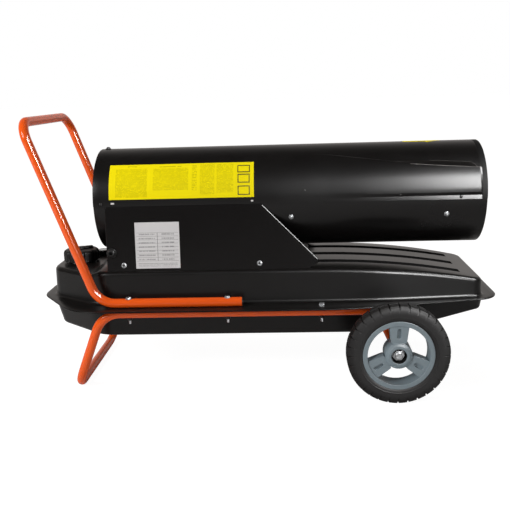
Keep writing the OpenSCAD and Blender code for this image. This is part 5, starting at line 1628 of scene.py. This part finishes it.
def control_frame(x, down):
    """On the left panel's face, Z outwards and Y up it."""
    base = panel_frame(1) @ shift(x, 0, -down)
    outward = base.to_3x3() @ Vector((0, -1, 0))
    upward = base.to_3x3() @ Vector((0, 0, 1))
    across = upward.cross(outward)
    matrix = Matrix((across, upward, outward)).transposed().to_4x4()
    matrix.translation = base.translation
    return matrix


def digit_mesh(text, size):
    """A printed figure for a scale, as a mesh."""
    curve = bpy.data.curves.new("digit", "FONT")
    curve.body, curve.size, curve.extrude = text, size, 0.12
    curve.align_x, curve.align_y = "CENTER", "CENTER"
    curve.resolution_u = 3
    holder = bpy.data.objects.new("digit", curve)
    bpy.context.scene.collection.objects.link(holder)
    mesh = bpy.data.meshes.new_from_object(holder)
    bpy.data.objects.remove(holder)
    bm = bmesh.new()
    bm.from_mesh(mesh)
    bpy.data.meshes.remove(mesh)
    bmesh.ops.triangulate(bm, faces=[f for f in bm.faces if len(f.verts) > 4])
    return bm


def controls():
    """Thermostat, mains switch and their scale."""
    at = control_frame(-70, 65)
    knob = new_lathe([(0.4, 3.1), (0.4, 15.8), (1.0, 16.9), (3.2, 17), (4.2, 16.2), (4.8, 14.4), (8.2, 13.6),
                      (9, 12.8), (9.2, 10), (9.2, 0)], 96)
    knurl(knob, 4.5, 9, 13, 0.035, 24)
    move(knob, turn(-90, "Y"))
    add_to(knob, block((-3.6, -13, 8.6), (3.6, 13, 17.2), 1.4, 3))
    settle("thermostat_knob_moulded", move(knob, at), MOULDED_BLACK, "thermostat_dial", ("thermostat_knob",),
           sharp=35)
    settle("thermostat_knob_mark", block((-0.7, 4, 17.1), (0.7, 12.4, 17.4), 0.1, 1), SCALE_PRINT,
           "thermostat_dial")
    bpy.data.objects["thermostat_knob_mark"].data.transform(
        Matrix.Diagonal((MM, MM, MM, 1)) @ at @ Matrix.Diagonal((1 / MM, 1 / MM, 1 / MM, 1)))
    marks, figures_r = [], 26.4
    for k in range(10):
        spin = -30 * k
        long = 3.2 if k % 3 == 0 else 2.0
        marks.append((block((-0.35, 19.4, 0.02), (0.35, 19.4 + long, 0.22), 0), at @ turn(spin, "Z")))
        if k % 3 == 0:
            a = math.radians(90 + spin)
            marks.append((digit_mesh(str(5 + 10 * (k // 3)), 5.4),
                          at @ shift(figures_r * math.cos(a), figures_r * math.sin(a), 0.1)))
    switch = control_frame(-140, 65)
    for text, across in (("I", -8.0), ("0", 8.0)):
        marks.append((digit_mesh(text, 5.0), switch @ shift(across, 14.5, 0.1)))
    settle("control_scale_print", fixing(marks), SCALE_PRINT, flip=False)
    dress_node("thermostat", MOULDED_BLACK, bevel=0.4)
    dress_node("switch_housing", MOULDED_BLACK, bevel=0.5)
    dress_node("power_rocker", RED_PLASTIC, "rocker", 0.4)


controls()


# ---------------------------------------------------------------- floor, light and backdrop

# How bright the floor's own white is to the camera, and its share of what is seen. The rest is the floor's
# shading, which keeps the shadow.
FLOOR_GLOW, FLOOR_SHARE = 1.32, 0.72
# The surroundings in reflections: how much the far side adds, the level all round and the least of all;
# then the level on dull surfaces.
FAR_SIDE, ALL_ROUND, LEAST, ON_DULL = 0.62, 0.045, 0.02, 0.30
WARM_GREY = (1.0, 0.94, 0.90, 1.0)


def floor():
    """The pale floor, which keeps the shadow."""
    bm = bmesh.new()
    bmesh.ops.create_grid(bm, x_segments=1, y_segments=1, size=30)
    mesh = bpy.data.meshes.new("floor")
    bm.to_mesh(mesh)
    bm.free()
    plane = bpy.data.objects.new("floor", mesh)
    bpy.context.scene.collection.objects.link(plane)
    material = bpy.data.materials.new("floor_white")
    material.use_nodes = True
    tree = material.node_tree
    shader = tree.nodes["Principled BSDF"]
    shader.inputs["Base Color"].default_value = (0.80, 0.80, 0.80, 1)
    shader.inputs["Roughness"].default_value = 0.9
    shader.inputs["Specular IOR Level"].default_value = 0.0
    light = tree.nodes.new("ShaderNodeLightPath")
    seen = math_node(tree, "MAXIMUM", light.outputs["Is Camera Ray"], light.outputs["Is Transmission Ray"])
    glow = tree.nodes.new("ShaderNodeEmission")
    glow.inputs["Strength"].default_value = FLOOR_GLOW
    mix = tree.nodes.new("ShaderNodeMixShader")
    factor = math_node(tree, "MULTIPLY", seen, FLOOR_SHARE)
    tree.links.new(factor, mix.inputs[0])
    tree.links.new(shader.outputs[0], mix.inputs[1])
    tree.links.new(glow.outputs[0], mix.inputs[2])
    tree.links.new(mix.outputs[0], tree.nodes["Material Output"].inputs["Surface"])
    mesh.materials.append(material)


def world():
    """The studio's soft surroundings: white to the camera, graded in reflections."""
    scene = bpy.context.scene
    scene.world = bpy.data.worlds.new("studio")
    scene.world.use_nodes = True
    tree = scene.world.node_tree
    background = tree.nodes["Background"]
    light = tree.nodes.new("ShaderNodeLightPath")
    place = tree.nodes.new("ShaderNodeTexCoord")
    split = node(tree, "ShaderNodeSeparateXYZ", {"Vector": place.outputs["Generated"]})
    behind = node(tree, "ShaderNodeMapRange", {"Value": split.outputs["Y"]},
                  **{"From Min": 0.1, "From Max": 0.7})
    low = node(tree, "ShaderNodeMapRange", {"Value": split.outputs["Z"]},
               **{"From Min": 0.95, "From Max": 0.20})
    sides = math_node(tree, "MULTIPLY_ADD", behind.outputs["Result"], FAR_SIDE)
    sides.node.inputs[2].default_value = ALL_ROUND
    sweep = math_node(tree, "MULTIPLY_ADD", sides, low.outputs["Result"])
    sweep.node.inputs[2].default_value = LEAST
    plain = math_node(tree, "MULTIPLY", light.outputs["Is Diffuse Ray"], ON_DULL)
    seen = math_node(tree, "MAXIMUM", light.outputs["Is Camera Ray"], light.outputs["Is Transmission Ray"])
    strength = math_node(tree, "MAXIMUM", seen, math_node(tree, "MAXIMUM", sweep, plain))
    tree.links.new(strength, background.inputs["Strength"])
    tint = mix_colour(tree, seen, WARM_GREY, (1.0, 1.0, 1.0, 1.0))
    tree.links.new(tint, background.inputs["Color"])


def lamp(name, place, towards, power, size, size_y=None, diffuse=True, glossy=True):
    """A rectangular lamp at a place, aimed at a point."""
    data = bpy.data.lights.new(name, "AREA")
    data.energy, data.size = power, size
    if size_y:
        data.shape, data.size_y = "RECTANGLE", size_y
    light = bpy.data.objects.new(name, data)
    light.location = place
    light.rotation_euler = (Vector(towards) - Vector(place)).to_track_quat("-Z", "Y").to_euler()
    light.visible_diffuse, light.visible_glossy = diffuse, glossy
    bpy.context.scene.collection.objects.link(light)


floor()
world()
lamp("key_light", (-2.1, -1.9, 1.7), (0.0, 0.0, 0.3), power=58, size=1.0)
lamp("side_light", (1.02, -1.75, 1.22), (0.43, -0.11, 0.4), power=120, size=0.6, size_y=1.1, diffuse=False)
lamp("strip_light", (1.95, -0.95, 1.95), (0.05, -0.12, 0.3), power=90, size=0.45, size_y=0.9, diffuse=False)
lamp("top_light", (0.0, 0.25, 2.6), (0.0, 0.0, 0.3), power=10, size=1.4, size_y=0.8, glossy=False)
bpy.context.scene.view_settings.view_transform = "Standard"
